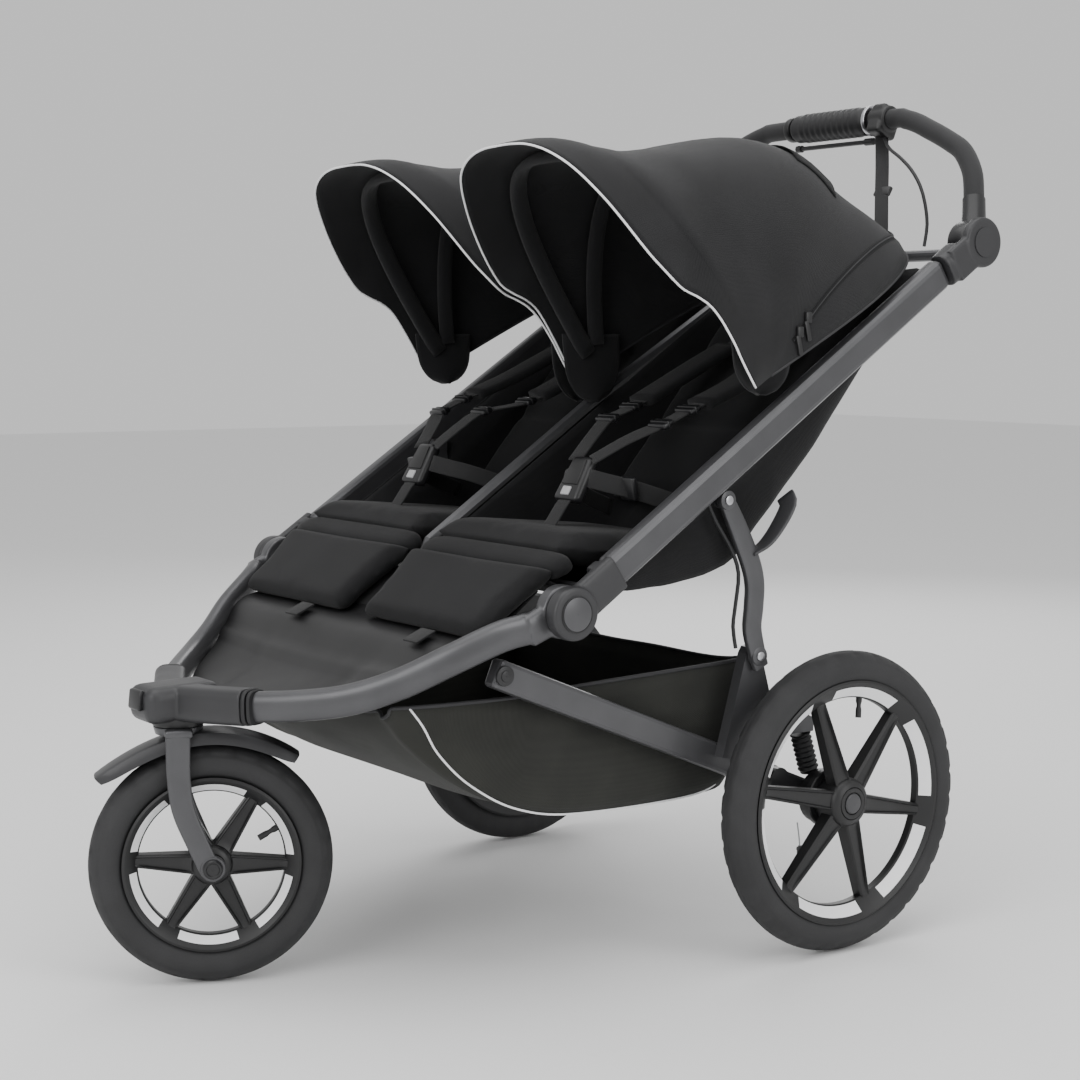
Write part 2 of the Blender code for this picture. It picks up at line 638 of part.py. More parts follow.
def make_seats():
    width = SEAT_OUT - SEAT_IN
    middle = (SEAT_OUT + SEAT_IN) / 2
    for side, sign in SIDES:
        seat = slab((width, 0.270, 0.036), (sign * middle, -0.2855, 0.5405), math.radians(-5), 0.010, 2)
        put(seat, "seat_cushion_" + side, LINING, FOLD)
        rise = math.radians(50.4)
        back = slab((width, 0.372, 0.034), (sign * middle, -0.0050, 0.7210), rise, 0.010, 2)
        put(back, "backrest_" + side, LINING, RECLINE)


def make_buckles():
    lean = math.radians(-30)
    face = Vector((0, -math.cos(lean), -math.sin(lean)))
    for side, sign in SIDES:
        middle = Vector((sign * 0.187, -0.300, 0.624))
        body = slab((0.048, 0.018, 0.056), middle, lean, 0.005, 2)
        pocket_at = middle + face * 0.009 + Vector((0, 0, -0.008))
        turn = face.to_track_quat("Z", "Y").to_matrix()
        pocket = peg(0.0098, 0.009, pocket_at, turn)
        put(combined(body, [pocket], "DIFFERENCE"), "buckle_" + side, PLASTIC, FOLD)
        button = peg(0.0090, 0.004, pocket_at + face * 0.0006, turn)
        put(button, "buckle_button_" + side, GREY, FOLD)


def peg(radius, length, middle, turn):
    """A short cylinder along the turned Z axis, centred on middle."""
    bm = bmesh.new()
    bmesh.ops.create_cone(bm, cap_ends=True, segments=20, radius1=radius, radius2=radius, depth=length)
    return from_bmesh(bm, turn, middle)


# ---- struts -------------------------------------------------------------------------------
STRUT_PATH = [(STRUT_Y, STRUT_Z), (-0.156, 0.567), (-0.134, 0.522), (-0.126, 0.493), (-0.127, 0.462),
              (-0.129, 0.434), (-0.119, 0.399), (-0.113, 0.384)]
CABLE_PATH = [(0.3340, -0.203, 0.598), (0.3340, -0.190, 0.575), (0.3340, -0.165, 0.540),
              (0.3340, -0.152, 0.508), (0.3340, -0.156, 0.470), (0.3340, -0.160, 0.440),
              (0.3340, -0.155, 0.412)]


def make_struts():
    for side, sign in SIDES:
        x = sign * STRUT_X
        path = smooth_path([(x, y, z) for y, z in STRUT_PATH], 0.012)
        low, high = x - STRUT_W / 2, x + STRUT_W / 2
        bar = band(path, low, high, STRUT_D / 2, STRUT_D / 2)
        eyes = [disc(0.0115, low, high, STRUT_Y, STRUT_Z, 20), disc(0.0115, low, high, -0.119, 0.399, 20)]
        put(combined(bar, eyes), "strut_" + side, FRAME_PAINT, STRUT_PIVOT)
    put(tube(smooth_path(CABLE_PATH, 0.012), 0.0025), "brake_cable_lower", RUBBER, STRUT_PIVOT)


# ---- handlebar ----------------------------------------------------------------------------
HANDLE_PATH = [(0.3525, 0.018), (0.3431, 0.0448), (0.3356, 0.0646), (0.3275, 0.0850), (0.3185, 0.1040),
               (0.3040, 0.1235), (0.2834, 0.1437), (0.2580, 0.1580), (0.2313, 0.1712), (0.2050, 0.1830),
               (0.1780, 0.1950), (0.1500, 0.2035), (0.1180, 0.2070)]
UP = Vector((0, math.cos(HANDLE_TILT), math.sin(HANDLE_TILT)))
BAR = Vector((0, HANDLE_Y, HANDLE_Z)) + UP * 0.207
UPPER_CABLE = [(0.110, 0.316, 1.1035), (0.135, 0.298, 1.0880), (0.170, 0.272, 1.0760),
               (0.205, 0.255, 1.0620), (0.235, 0.246, 1.0430), (0.256, 0.242, 1.0200),
               (0.268, 0.240, 0.9950), (0.275, 0.238, 0.9650), (0.278, 0.230, 0.9350)]


def make_handlebar():
    half = [Vector((x, HANDLE_Y, HANDLE_Z)) + UP * up for x, up in HANDLE_PATH]
    path = half + [Vector((-point.x, point.y, point.z)) for point in half[::-1]]
    bar = welded(tube(smooth_path(path, 0.024), HANDLE_R, resolution=2))
    hubs = [disc(0.0300, *sorted((sign * 0.3375, sign * 0.3655)), HANDLE_Y, HANDLE_Z, 28)
            for side, sign in SIDES]
    block = disc(0.0205, 0.0900, 0.1230, BAR.y, BAR.z, 20)
    put(combined(bar, hubs + [block]), "handlebar", FOAM, HANDLE_PIVOT)

    grip = disc(0.0215, -0.0780, 0.0780, BAR.y, BAR.z, 28, 0.002)
    hole = disc(HANDLE_R + 0.0006, -0.09, 0.09, BAR.y, BAR.z, 28)
    twist = Pivot("twist_axis", BAR, HANDLE_PIVOT)
    put(combined(grip, [hole], "DIFFERENCE"), "twist_grip", PLASTIC, twist)
    lever = disc(0.0035, -0.0700, 0.0860, BAR.y, BAR.z - 0.0300, 12)
    ends = [disc(0.0055, *span, BAR.y, BAR.z - 0.0300, 12) for span in ((-0.078, -0.068), (0.070, 0.086))]
    put(combined(lever, ends), "squeeze_lever", STEEL, HANDLE_PIVOT)
    put(tube(smooth_path(UPPER_CABLE, 0.012), 0.0025), "brake_cable_upper", RUBBER, HANDLE_PIVOT)


def make_safety_strap():
    """Webbing from the strap block on the bar down to the crossbar behind the seats."""
    path = [(0.1065, BAR.y, BAR.z - 0.0220), (0.1090, 0.316, 1.0900), (0.1500, 0.275, 1.0250),
            (0.2050, 0.222, 0.9340)]
    profile = section(0.0200, 0.0022, 2)
    band = welded(tube(smooth_path(path, 0.02), profile=profile), profile)
    put(band, "safety_strap", WEBBING, HANDLE_PIVOT)


# ---- canopies -----------------------------------------------------------------------------
# How far the canopy reaches from its pivot at each angle, front to back.
REACH = ((128, 0.364), (117, 0.3175), (102, 0.299), (90, 0.302), (77, 0.320), (65, 0.345),
         (54, 0.358), (41, 0.365), (29, 0.376))
HEM_REACH = 0.393
# The front hem's angle at each distance from the pivot; it kinks forward half way up.
HEM = ((0.030, 165), (0.070, 147), (0.120, 138.4), (0.150, 139.5), (0.180, 143.2), (0.232, 141.6),
       (0.311, 138.0), (0.393, 134.0))
STEPS_UP = (0.09, 0.26, 0.44, 0.60, 0.74, 0.85, 0.93, 0.98)


def hem_angle(reach):
    for (near, first), (far, second) in zip(HEM, HEM[1:]):
        if reach <= far:
            return first + (second - first) * max(0.0, reach - near) / (far - near)
    return HEM[-1][1]


def canopy_point(sign, reach, share, degrees, half):
    """A point of an arch: share is how far up its side it is, and half the arch's half width."""
    across = half * (1 - abs(share) ** 3) ** (1 / 3) * (1 if share >= 0 else -1)
    y, z = along(abs(share) * reach, math.radians(degrees), CANOPY_Y, CANOPY_Z)
    return Vector((sign * (CANOPY_MID + across), y, z))


def make_canopies():
    shares = [s for s in STEPS_UP] + [1.0] + [-s for s in STEPS_UP[::-1]]
    for side, sign in SIDES:
        bm = bmesh.new()
        grid = [[bm.verts.new(canopy_point(sign, HEM_REACH, s, hem_angle(abs(s) * HEM_REACH), CANOPY_HALF))
                 for s in shares]]
        for degrees, reach in REACH:
            grid.append([bm.verts.new(canopy_point(sign, reach, s, degrees, CANOPY_HALF)) for s in shares])
        for low, high in zip(grid, grid[1:]):
            for i in range(len(shares) - 1):
                bm.faces.new((low[i], low[i + 1], high[i + 1], high[i]))
        shell = from_bmesh(bm)
        wall = shell.modifiers.new("wall", "SOLIDIFY")
        wall.thickness = 0.0025
        wall.offset = 0
        put(baked(shell), "canopy_" + side, FABRIC, CANOPY_PIVOT)
        bow_shares = [0.10, 0.40, 0.65, 0.82, 0.92, 0.98, 1.0]
        bow_shares = bow_shares + [-s for s in bow_shares[:-1][::-1]]
        bow = tube([canopy_point(sign, 0.340, s, 126, CANOPY_HALF - 0.012) for s in bow_shares], 0.0035,
                   resolution=1)
        put(bow, "canopy_bow_" + side, PLASTIC, CANOPY_PIVOT)


# ---- build --------------------------------------------------------------------------------
ARMS = {side: Pivot("arm_axis_" + side, (0, ARM_Y, ARM_Z), RAIL_PIVOT) for side, sign in SIDES}

make_rear_wheels()
make_front_wheel()
make_fork()
make_mudguard()
make_front_axle()
make_hub_casing()
make_front_tubes()
make_footrest()
make_footwell()
make_rails()
make_suspension()
make_basket()
make_side_tubes()
make_fold_housings()
make_handle_casings()
make_seat_frame()
make_seats()
make_buckles()
make_struts()
make_handlebar()
make_safety_strap()
make_canopies()
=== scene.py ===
"""Jogging stroller, as seen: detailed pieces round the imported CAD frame.

All lengths are in metres. Lists of points give y from the rear axle; Y0 moves them into the frame.
"""
import math

import bmesh
import bpy
from mathutils import Matrix, Vector, noise

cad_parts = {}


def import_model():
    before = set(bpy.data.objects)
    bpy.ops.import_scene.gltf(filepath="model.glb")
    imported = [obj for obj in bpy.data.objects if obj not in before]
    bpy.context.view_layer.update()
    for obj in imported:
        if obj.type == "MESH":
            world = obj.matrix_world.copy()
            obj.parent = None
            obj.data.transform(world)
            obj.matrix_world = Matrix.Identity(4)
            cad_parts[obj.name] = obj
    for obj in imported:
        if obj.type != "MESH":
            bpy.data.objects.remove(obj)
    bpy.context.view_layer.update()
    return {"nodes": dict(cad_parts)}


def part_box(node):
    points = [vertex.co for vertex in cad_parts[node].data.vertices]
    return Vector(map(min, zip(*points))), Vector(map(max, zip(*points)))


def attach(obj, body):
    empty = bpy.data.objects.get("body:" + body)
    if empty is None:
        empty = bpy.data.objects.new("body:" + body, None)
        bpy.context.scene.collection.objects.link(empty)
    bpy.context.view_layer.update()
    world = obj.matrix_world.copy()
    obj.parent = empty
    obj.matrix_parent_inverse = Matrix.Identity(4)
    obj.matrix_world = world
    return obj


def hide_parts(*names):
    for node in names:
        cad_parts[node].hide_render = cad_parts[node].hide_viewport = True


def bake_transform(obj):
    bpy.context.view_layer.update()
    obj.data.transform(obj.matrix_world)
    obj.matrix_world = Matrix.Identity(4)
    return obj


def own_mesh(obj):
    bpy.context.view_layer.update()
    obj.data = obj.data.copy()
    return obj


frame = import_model()
NODES = frame["nodes"]

REAR_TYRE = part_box("rear_tyre_left")
Y0 = (REAR_TYRE[0][1] + REAR_TYRE[1][1]) / 2
SIDES = (("left", 1), ("right", -1))
REAR_X, REAR_R = 0.3696, 0.200      # the rear wheel's middle plane and radius
FRONT_R, TRAIL = 0.152, 0.039       # the front wheel's radius, and its axle behind the steering axis
STEER = Vector((0, -0.775, 0))
SWIVEL = Matrix.Rotation(math.radians(-24.4), 3, "Z")
UPRIGHT = Matrix.Identity(3)


def world(point):
    return Vector((point[0], point[1] + Y0, point[2]))


def outward(sign=1):
    """Turns Z, a lathe's axis, to the left (1) or the right (-1)."""
    return Matrix.Rotation(sign * math.pi / 2, 3, "Y")


def mirrored(sign, points):
    return [(sign * x, y, z) for x, y, z in points]


def tilt(degrees):
    return Matrix.Rotation(math.radians(degrees), 3, "X")


def caster(point):
    """From coordinates round the steering axis to the stroller's."""
    return STEER + SWIVEL @ Vector(point)


def set_inputs(node, values):
    for name, value in values.items():
        node.inputs[name].default_value = value


# ---- camera, light and floor ----
CAMERA_SPOT = (2.2631, -1.8458, 0.8036)
CAMERA_ANGLES = (54.38, 5.675, 0.237)       # yaw, pitch and roll
CAMERA_LENS = 67.17


def add_camera():
    yaw, pitch, roll = map(math.radians, CAMERA_ANGLES)
    ahead = Vector((-math.sin(yaw) * math.cos(pitch), math.cos(yaw) * math.cos(pitch), -math.sin(pitch)))
    right = Vector((math.cos(yaw), math.sin(yaw), 0))
    above = right.cross(ahead)
    across = right * math.cos(roll) + above * math.sin(roll)
    upward = above * math.cos(roll) - right * math.sin(roll)
    camera = bpy.data.objects.new("camera", bpy.data.cameras.new("camera"))
    camera.data.lens = CAMERA_LENS
    camera.data.sensor_width = 36
    camera.data.clip_end = 100
    turn = Matrix((across, upward, -ahead)).transposed().to_4x4()
    camera.matrix_world = Matrix.Translation(world(CAMERA_SPOT)) @ turn
    bpy.context.scene.collection.objects.link(camera)
    bpy.context.scene.camera = camera


def add_light(name, place, target, size, power):
    light = bpy.data.lights.new(name, "AREA")
    light.shape = "RECTANGLE"
    light.size, light.size_y = size
    light.energy = power
    holder = bpy.data.objects.new(name, light)
    holder.location = place
    holder.rotation_euler = (Vector(target) - Vector(place)).to_track_quat("-Z", "Y").to_euler()
    bpy.context.scene.collection.objects.link(holder)


def add_studio():
    sky = bpy.data.worlds.new("studio")
    sky.use_nodes = True
    set_inputs(sky.node_tree.nodes["Background"], {"Color": (1, 1, 1, 1), "Strength": 0.75})
    bpy.context.scene.world = sky
    add_light("top_light", (0.3, -0.2, 3.0), (0, 0.1, 0.5), (3.2, 3.2), 62)
    add_light("front_light", (1.2, -3.2, 1.9), (0, 0, 0.6), (2.2, 1.8), 46)
    add_light("side_light", (3.4, 0.9, 1.7), (0, 0, 0.6), (1.6, 2.2), 34)
    add_light("back_light", (-2.4, 2.6, 2.2), (0, 0, 0.7), (2.0, 2.0), 34)
    mesh = bpy.data.meshes.new("floor")
    reach = 14
    corners = [(-reach, -reach, 0), (reach, -reach, 0), (reach, reach, 0), (-reach, reach, 0)]
    mesh.from_pydata(corners, [], [(0, 1, 2, 3)])
    floor = bpy.data.objects.new("floor", mesh)
    floor.location.z = -0.0005
    bpy.context.scene.collection.objects.link(floor)
    paper = material("floor_paper", (0.86, 0.86, 0.86), 0.9, grain=(40, 0.00001), spread=0, smudge=0)
    mesh.materials.append(paper)


# ---- materials ----
def material(name, colour, roughness, metallic=0.0, grain=(500, 0.0003), spread=0.25, sheen=0.0,
             weave=None, coat=0.0, smudge=0.06, specular=0.5):
    """A surface with uneven colour and roughness, a fine grain and, for cloth, a woven relief."""
    made = bpy.data.materials.new(name)
    made.use_nodes = True
    tree = made.node_tree
    shader = tree.nodes["Principled BSDF"]
    set_inputs(shader, {"Metallic": metallic, "Sheen Weight": sheen, "Sheen Roughness": 0.5,
                        "Coat Weight": coat, "Coat Roughness": 0.25, "Specular IOR Level": specular})
    place = tree.nodes.new("ShaderNodeTexCoord").outputs["Object"]

    def texture(scale, detail=2.0):
        node = tree.nodes.new("ShaderNodeTexNoise")
        set_inputs(node, {"Scale": scale, "Detail": detail})
        tree.links.new(place, node.inputs["Vector"])
        return node.outputs["Fac"]

    def ramp(value, low, high):
        node = tree.nodes.new("ShaderNodeMapRange")
        tree.links.new(value, node.inputs["Value"])
        set_inputs(node, {"From Min": 0.3, "From Max": 0.7, "To Min": low, "To Max": high})
        return node.outputs["Result"]

    def maths(operation, *values):
        node = tree.nodes.new("ShaderNodeMath")
        node.operation = operation
        for value, socket in zip(values, node.inputs):
            if isinstance(value, float):
                socket.default_value = value
            else:
                tree.links.new(value, socket)
        return node.outputs[0]

    blend = tree.nodes.new("ShaderNodeMix")
    blend.data_type = "RGBA"
    dark, pale = ([min(1, c * part) for c in colour] for part in (1 - spread, 1 + spread))
    set_inputs(blend, {"A": (*dark, 1), "B": (*pale, 1)})
    tree.links.new(blend.outputs["Result"], shader.inputs["Base Color"])
    uneven = ramp(texture(9, 4), max(0.02, roughness - smudge), min(1, roughness + smudge))
    tree.links.new(uneven, shader.inputs["Roughness"])
    fine = texture(grain[0])
    relief = tree.nodes.new("ShaderNodeBump")
    set_inputs(relief, {"Distance": grain[1], "Strength": 0.6})
    tree.links.new(relief.outputs["Normal"], shader.inputs["Normal"])
    if not weave:
        mottle = maths("MULTIPLY_ADD", texture(22, 3), 0.6, maths("MULTIPLY", fine, 0.4))
        tree.links.new(ramp(mottle, 0, 1), blend.inputs["Factor"])
        tree.links.new(fine, relief.inputs["Height"])
        return made
    threads = []
    for direction in ("DIAGONAL", "Z", "X"):
        wave = tree.nodes.new("ShaderNodeTexWave")
        wave.bands_direction = direction
        set_inputs(wave, {"Scale": weave, "Distortion": 0.35, "Detail Scale": 3.0})
        tree.links.new(place, wave.inputs["Vector"])
        threads.append(wave.outputs["Fac"])
    cloth = maths("MULTIPLY_ADD", threads[2], 0.4, maths("MAXIMUM", threads[0], threads[1]))
    tree.links.new(cloth, relief.inputs["Height"])
    shade = maths("MULTIPLY_ADD", cloth, 0.45, ramp(texture(14, 4), -0.2, 0.4))
    tree.links.new(shade, blend.inputs["Factor"])
    return made


# Colour, roughness, metal, grain (scale, depth) and colour spread; cloth adds its sheen and weave.
FACTS = {
    "frame_paint": ((0.078, 0.078, 0.082), 0.36, 0.5, (1400, 0.0001), 0.12),
    "frame_dark": ((0.020, 0.020, 0.021), 0.40, 0.2, (1400, 0.0001), 0.15),
    "black_plastic": ((0.0085, 0.0085, 0.009), 0.42, 0, (900, 0.0002), 0.2),
    "satin_plastic": ((0.011, 0.011, 0.012), 0.34, 0, (1500, 0.0001), 0.15),
    "grey_plastic": ((0.42, 0.42, 0.43), 0.45, 0, (900, 0.0001), 0.06),
    "tyre_rubber": ((0.021, 0.021, 0.022), 0.72, 0, (700, 0.0003), 0.2),
    "soft_rubber": ((0.010, 0.010, 0.011), 0.55, 0, (700, 0.0002), 0.2),
    "grip_foam": ((0.013, 0.013, 0.014), 0.80, 0, (650, 0.0007), 0.3, 0.1),
    "steel": ((0.50, 0.50, 0.52), 0.28, 1.0, (900, 0.0001), 0.08),
    "canopy_fabric": ((0.0105, 0.0105, 0.0115), 0.88, 0, (600, 0.0004), 0.3, 0.10, 420),
    "lining_fabric": ((0.0065, 0.0065, 0.007), 0.92, 0, (600, 0.0004), 0.3, 0.06, 420),
    "seat_fabric": ((0.0078, 0.0078, 0.0085), 0.9, 0, (500, 0.0005), 0.3, 0.08, 300),
    "basket_fabric": ((0.0210, 0.0216, 0.0185), 0.85, 0, (500, 0.0004), 0.3, 0.08, 260),
    "webbing": ((0.0085, 0.0085, 0.009), 0.8, 0, (500, 0.0003), 0.3, 0.10, 520),
    "casing": ((0.034, 0.034, 0.036), 0.42, 0.2, (1400, 0.0001), 0.12),
    "cap_grey": ((0.050, 0.050, 0.053), 0.40, 0.1, (1400, 0.0001), 0.1),
    "piping": ((0.86, 0.86, 0.87), 0.45, 0, (900, 0.0001), 0.08),
    "dark_piping": ((0.022, 0.022, 0.024), 0.7, 0, (900, 0.0002), 0.1),
    "reflector": ((0.93, 0.93, 0.94), 0.30, 0, (1200, 0.0001), 0.05),
}
GLOSS = {"frame_paint": {"coat": 0.15}, "canopy_fabric": {"specular": 0.3},
         "lining_fabric": {"specular": 0.25}, "seat_fabric": {"specular": 0.25},
         "basket_fabric": {"specular": 0.3}}
MATS = {name: material(name, *facts, **GLOSS.get(name, {})) for name, facts in FACTS.items()}


def smooth_group():
    """A node group that shades smooth and keeps edges sharper than 32 degrees."""
    group = bpy.data.node_groups.new("smooth_by_angle", "GeometryNodeTree")
    group.interface.new_socket("Geometry", in_out="INPUT", socket_type="NodeSocketGeometry")
    group.interface.new_socket("Geometry", in_out="OUTPUT", socket_type="NodeSocketGeometry")
    start = group.nodes.new("NodeGroupInput")
    end = group.nodes.new("NodeGroupOutput")
    faces = group.nodes.new("GeometryNodeSetShadeSmooth")
    faces.domain = "FACE"
    edges = group.nodes.new("GeometryNodeSetShadeSmooth")
    edges.domain = "EDGE"
    angle = group.nodes.new("GeometryNodeInputMeshEdgeAngle")
    test = group.nodes.new("FunctionNodeCompare")
    test.data_type = "FLOAT"
    test.operation = "LESS_THAN"
    test.inputs["B"].default_value = math.radians(32)
    link = group.links.new
    link(start.outputs[0], faces.inputs["Geometry"])
    link(faces.outputs["Geometry"], edges.inputs["Geometry"])
    link(angle.outputs["Unsigned Angle"], test.inputs["A"])
    link(test.outputs["Result"], edges.inputs["Shade Smooth"])
    link(edges.outputs["Geometry"], end.inputs[0])
    return group


SMOOTH = smooth_group()


def soften(thing):
    step = thing.modifiers.new("smooth", "NODES")
    step.node_group = SMOOTH
    return thing


def smoothed(mesh):
    for polygon in mesh.polygons:
        polygon.use_smooth = True


def applied(thing):
    """Apply the piece's modifiers, and give its new mesh."""
    graph = bpy.context.evaluated_depsgraph_get()
    mesh = bpy.data.meshes.new_from_object(thing.evaluated_get(graph))
    thing.modifiers.clear()
    thing.data = mesh
    return mesh


# ---- building pieces ----
def piece(name, verts, faces, finish, body, replaced=(), wall=0.0, sharp=True):
    """A mesh piece given in stroller coordinates, riding on a body."""
    mesh = bpy.data.meshes.new(name)
    mesh.from_pydata([world(v) for v in verts], [], faces)
    bm = bmesh.new()
    bm.from_mesh(mesh)
    bmesh.ops.remove_doubles(bm, verts=bm.verts, dist=1e-6)
    bmesh.ops.recalc_face_normals(bm, faces=bm.faces)
    bm.to_mesh(mesh)
    bm.free()
    smoothed(mesh)
    thing = bpy.data.objects.new(name, mesh)
    bpy.context.scene.collection.objects.link(thing)
    mesh.materials.append(MATS[finish])
    if wall:
        step = thing.modifiers.new("wall", "SOLIDIFY")
        step.thickness = wall
        step.offset = 0
    if sharp:
        soften(thing)
    if body:
        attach(thing, body)
    if replaced:
        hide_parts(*replaced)
    return thing


def grid_faces(rows, columns, wrap_rows=False, wrap_columns=False):
    faces = []
    for i in range(rows if wrap_rows else rows - 1):
        for j in range(columns if wrap_columns else columns - 1):
            a, b = i * columns, (i + 1) % rows * columns
            k = (j + 1) % columns
            faces.append((a + j, a + k, b + k, b + j))
    return faces


def loft(rows, wrap=False, caps=False):
    """Vertices and faces of a grid of points; wrap joins the last column to the first."""
    columns = len(rows[0])
    verts = [point for row in rows for point in row]
    faces = grid_faces(len(rows), columns, wrap_columns=wrap)
    if caps:
        faces += [tuple(range(columns)), tuple(range((len(rows) - 1) * columns, len(rows) * columns))]
    return verts, faces


def merged(*shapes):
    verts, faces = [], []
    for more_verts, more_faces in shapes:
        faces += [tuple(i + len(verts) for i in face) for face in more_faces]
        verts += list(more_verts)
    return verts, faces


def curve_through(points, count):
    """Count points evenly spaced along a Catmull-Rom curve."""
    points = [Vector(p) for p in points]
    dense = []
    ends = [2 * points[0] - points[1]] + points + [2 * points[-1] - points[-2]]
    for a, b, c, d in zip(ends, ends[1:], ends[2:], ends[3:]):
        for i in range(24):
            t = i / 24
            dense.append(0.5 * (2 * b + (c - a) * t + (2 * a - 5 * b + 4 * c - d) * t * t
                                + (3 * b - a - 3 * c + d) * t ** 3))
    dense.append(points[-1])
    lengths = [0.0]
    for a, b in zip(dense, dense[1:]):
        lengths.append(lengths[-1] + (b - a).length)
    result, k = [], 0
    for i in range(count):
        want = lengths[-1] * i / (count - 1)
        while k < len(dense) - 2 and lengths[k + 1] < want:
            k += 1
        share = (want - lengths[k]) / max(1e-9, lengths[k + 1] - lengths[k])
        result.append(dense[k].lerp(dense[k + 1], min(1, share)))
    return result


def value_at(table, x):
    """Smooth interpolation of (x, value) pairs with x rising."""
    if x <= table[0][0]:
        return table[0][1]
    for i in range(len(table) - 1):
        if x <= table[i + 1][0]:
            x0, y0 = table[i]
            x1, y1 = table[i + 1]
            before = table[max(i - 1, 0)]
            after = table[min(i + 2, len(table) - 1)]
            m0 = (y1 - before[1]) / (x1 - before[0])
            m1 = (after[1] - y0) / (after[0] - x0)
            h = x1 - x0
            t = (x - x0) / h
            return ((2 * t ** 3 - 3 * t * t + 1) * y0 + (t ** 3 - 2 * t * t + t) * h * m0
                    + (3 * t * t - 2 * t ** 3) * y1 + (t ** 3 - t * t) * h * m1)
    return table[-1][1]


def ring(width, height=None, count=16, power=2.0):
    """A closed round or squarish section."""
    height = width if height is None else height
    points = []
    for i in range(count):
        angle = 2 * math.pi * (i + 0.5) / count
        c, s = math.cos(angle), math.sin(angle)
        points.append((width / 2 * math.copysign(abs(c) ** (2 / power), c),
                       height / 2 * math.copysign(abs(s) ** (2 / power), s)))
    return points


def sweep(path, section, side=None, scale=None):
    """A closed section carried along a path; side is the direction its first axis keeps to."""
    rows = []
    last = Vector(side) if side is not None else None
    for i, point in enumerate(path):
        run = (path[min(i + 1, len(path) - 1)] - path[max(i - 1, 0)]).normalized()
        if last is None:
            last = run.orthogonal()
        across = (last - run * last.dot(run)).normalized()
        if side is None:
            last = across
        up = run.cross(across)
        grow = scale(i / (len(path) - 1)) if scale else 1.0
        rows.append([point + across * (u * grow) + up * (v * grow) for u, v in section])
    return loft(rows, wrap=True, caps=True)


def strap(name, points, width, side, body, count=24, replaced=()):
    shape = sweep(curve_through(points, count), ring(width, 0.0022, 10, 6.0), side)
    return piece(name, *shape, "webbing", body, replaced, sharp=False)


def pipe(name, points, radius, finish, body, count=40, sides=8):
    shape = sweep(curve_through(points, count), ring(radius * 2, None, sides))
    return piece(name, *shape, finish, body, sharp=False)


def lathe(profile, steps, turn, place, wobble=None):
    """(radius, height) points turned round Z, then turned and placed. Closed in section."""
    rows = []
    for i in range(steps):
        angle = 2 * math.pi * i / steps
        row = []
        for k, (radius, height) in enumerate(profile):
            if wobble:
                radius, height = wobble(i, k, radius, height)
            spot = Vector((radius * math.cos(angle), radius * math.sin(angle), height))
            row.append(Vector(place) + turn @ spot)
        rows.append(row)
    verts = [p for row in rows for p in row]
    return verts, grid_faces(steps, len(profile), wrap_rows=True, wrap_columns=True)


def disc(radius, x_low, x_high, y, z, round_off=0.0015, steps=40):
    """A rounded disc along X."""
    low, high = sorted((x_low, x_high))
    inner, b = 0.0004, round_off
    wide = high - low
    profile = [(inner, 0), (radius - b, 0), (radius - 0.3 * b, 0.3 * b), (radius, b), (radius, wide - b),
               (radius - 0.3 * b, wide - 0.3 * b), (radius - b, wide), (inner, wide)]
    return lathe(profile, steps, outward(), (low, y, z))


def box(size, place, turn=None, bevel=0.003, segments=3, taper=None):
    """A rounded box as vertices and faces; taper scales the width towards +Y."""
    bm = bmesh.new()
    bmesh.ops.create_cube(bm, size=1.0)
    for vert in bm.verts:
        grow = taper if taper and vert.co.y > 0 else 1.0
        vert.co = Vector((vert.co.x * size[0] * grow, vert.co.y * size[1], vert.co.z * size[2]))
    bmesh.ops.bevel(bm, geom=bm.edges[:], offset=bevel, segments=segments, affect="EDGES", profile=0.5)
    turn = turn or UPRIGHT
    bm.verts.index_update()
    verts = [Vector(place) + turn @ v.co for v in bm.verts]
    faces = [tuple(v.index for v in f.verts) for f in bm.faces]
    bm.free()
    return verts, faces


def fused(name, shapes, finish, body, replaced=(), voxel=0.0014, rounds=6):
    """Overlapping closed shapes melted into one smooth moulding."""
    verts, faces = merged(*shapes)
    thing = piece(name, verts, faces, finish, None, sharp=False)
    remesh = thing.modifiers.new("melt", "REMESH")
    remesh.mode = "VOXEL"
    remesh.voxel_size = voxel
    relax = thing.modifiers.new("relax", "SMOOTH")
    relax.factor = 0.5
    relax.iterations = rounds
    smoothed(applied(thing))
    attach(thing, body)
    if replaced:
        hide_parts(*replaced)
    return thing


def puffed(name, verts, faces, finish, body, replaced, reach, fill):
    """A stuffed piece: its closed form swells in a cloth simulation, each point by at most reach."""
    thing = piece(name, verts, faces, finish, None, sharp=False)
    remesh = thing.modifiers.new("melt", "REMESH")
    remesh.mode = "VOXEL"
    remesh.voxel_size = 0.006
    before = [v.co.copy() for v in applied(thing).vertices]
    cloth = thing.modifiers.new("cloth", "CLOTH")
    cloth.settings.quality = 4
    cloth.settings.use_pressure = True
    cloth.settings.uniform_pressure_force = 4.0
    cloth.settings.effector_weights.gravity = 0
    cloth.collision_settings.use_collision = False
    for count in range(1, 17):
        bpy.context.scene.frame_set(count)
    mesh = applied(thing)
    bpy.context.scene.frame_set(1)
    for vertex, start in zip(mesh.vertices, before):
        move = vertex.co - start
        if move.length > reach:
            vertex.co = start + move.normalized() * reach
    smoothed(thing.data)
    relax = thing.modifiers.new("relax", "SMOOTH")
    relax.iterations = 3
    relax.factor = 0.5
    step = thing.modifiers.new("round", "SUBSURF")
    step.levels = step.render_levels = 1
    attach(thing, body)
    if replaced:
        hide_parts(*replaced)
    return thing


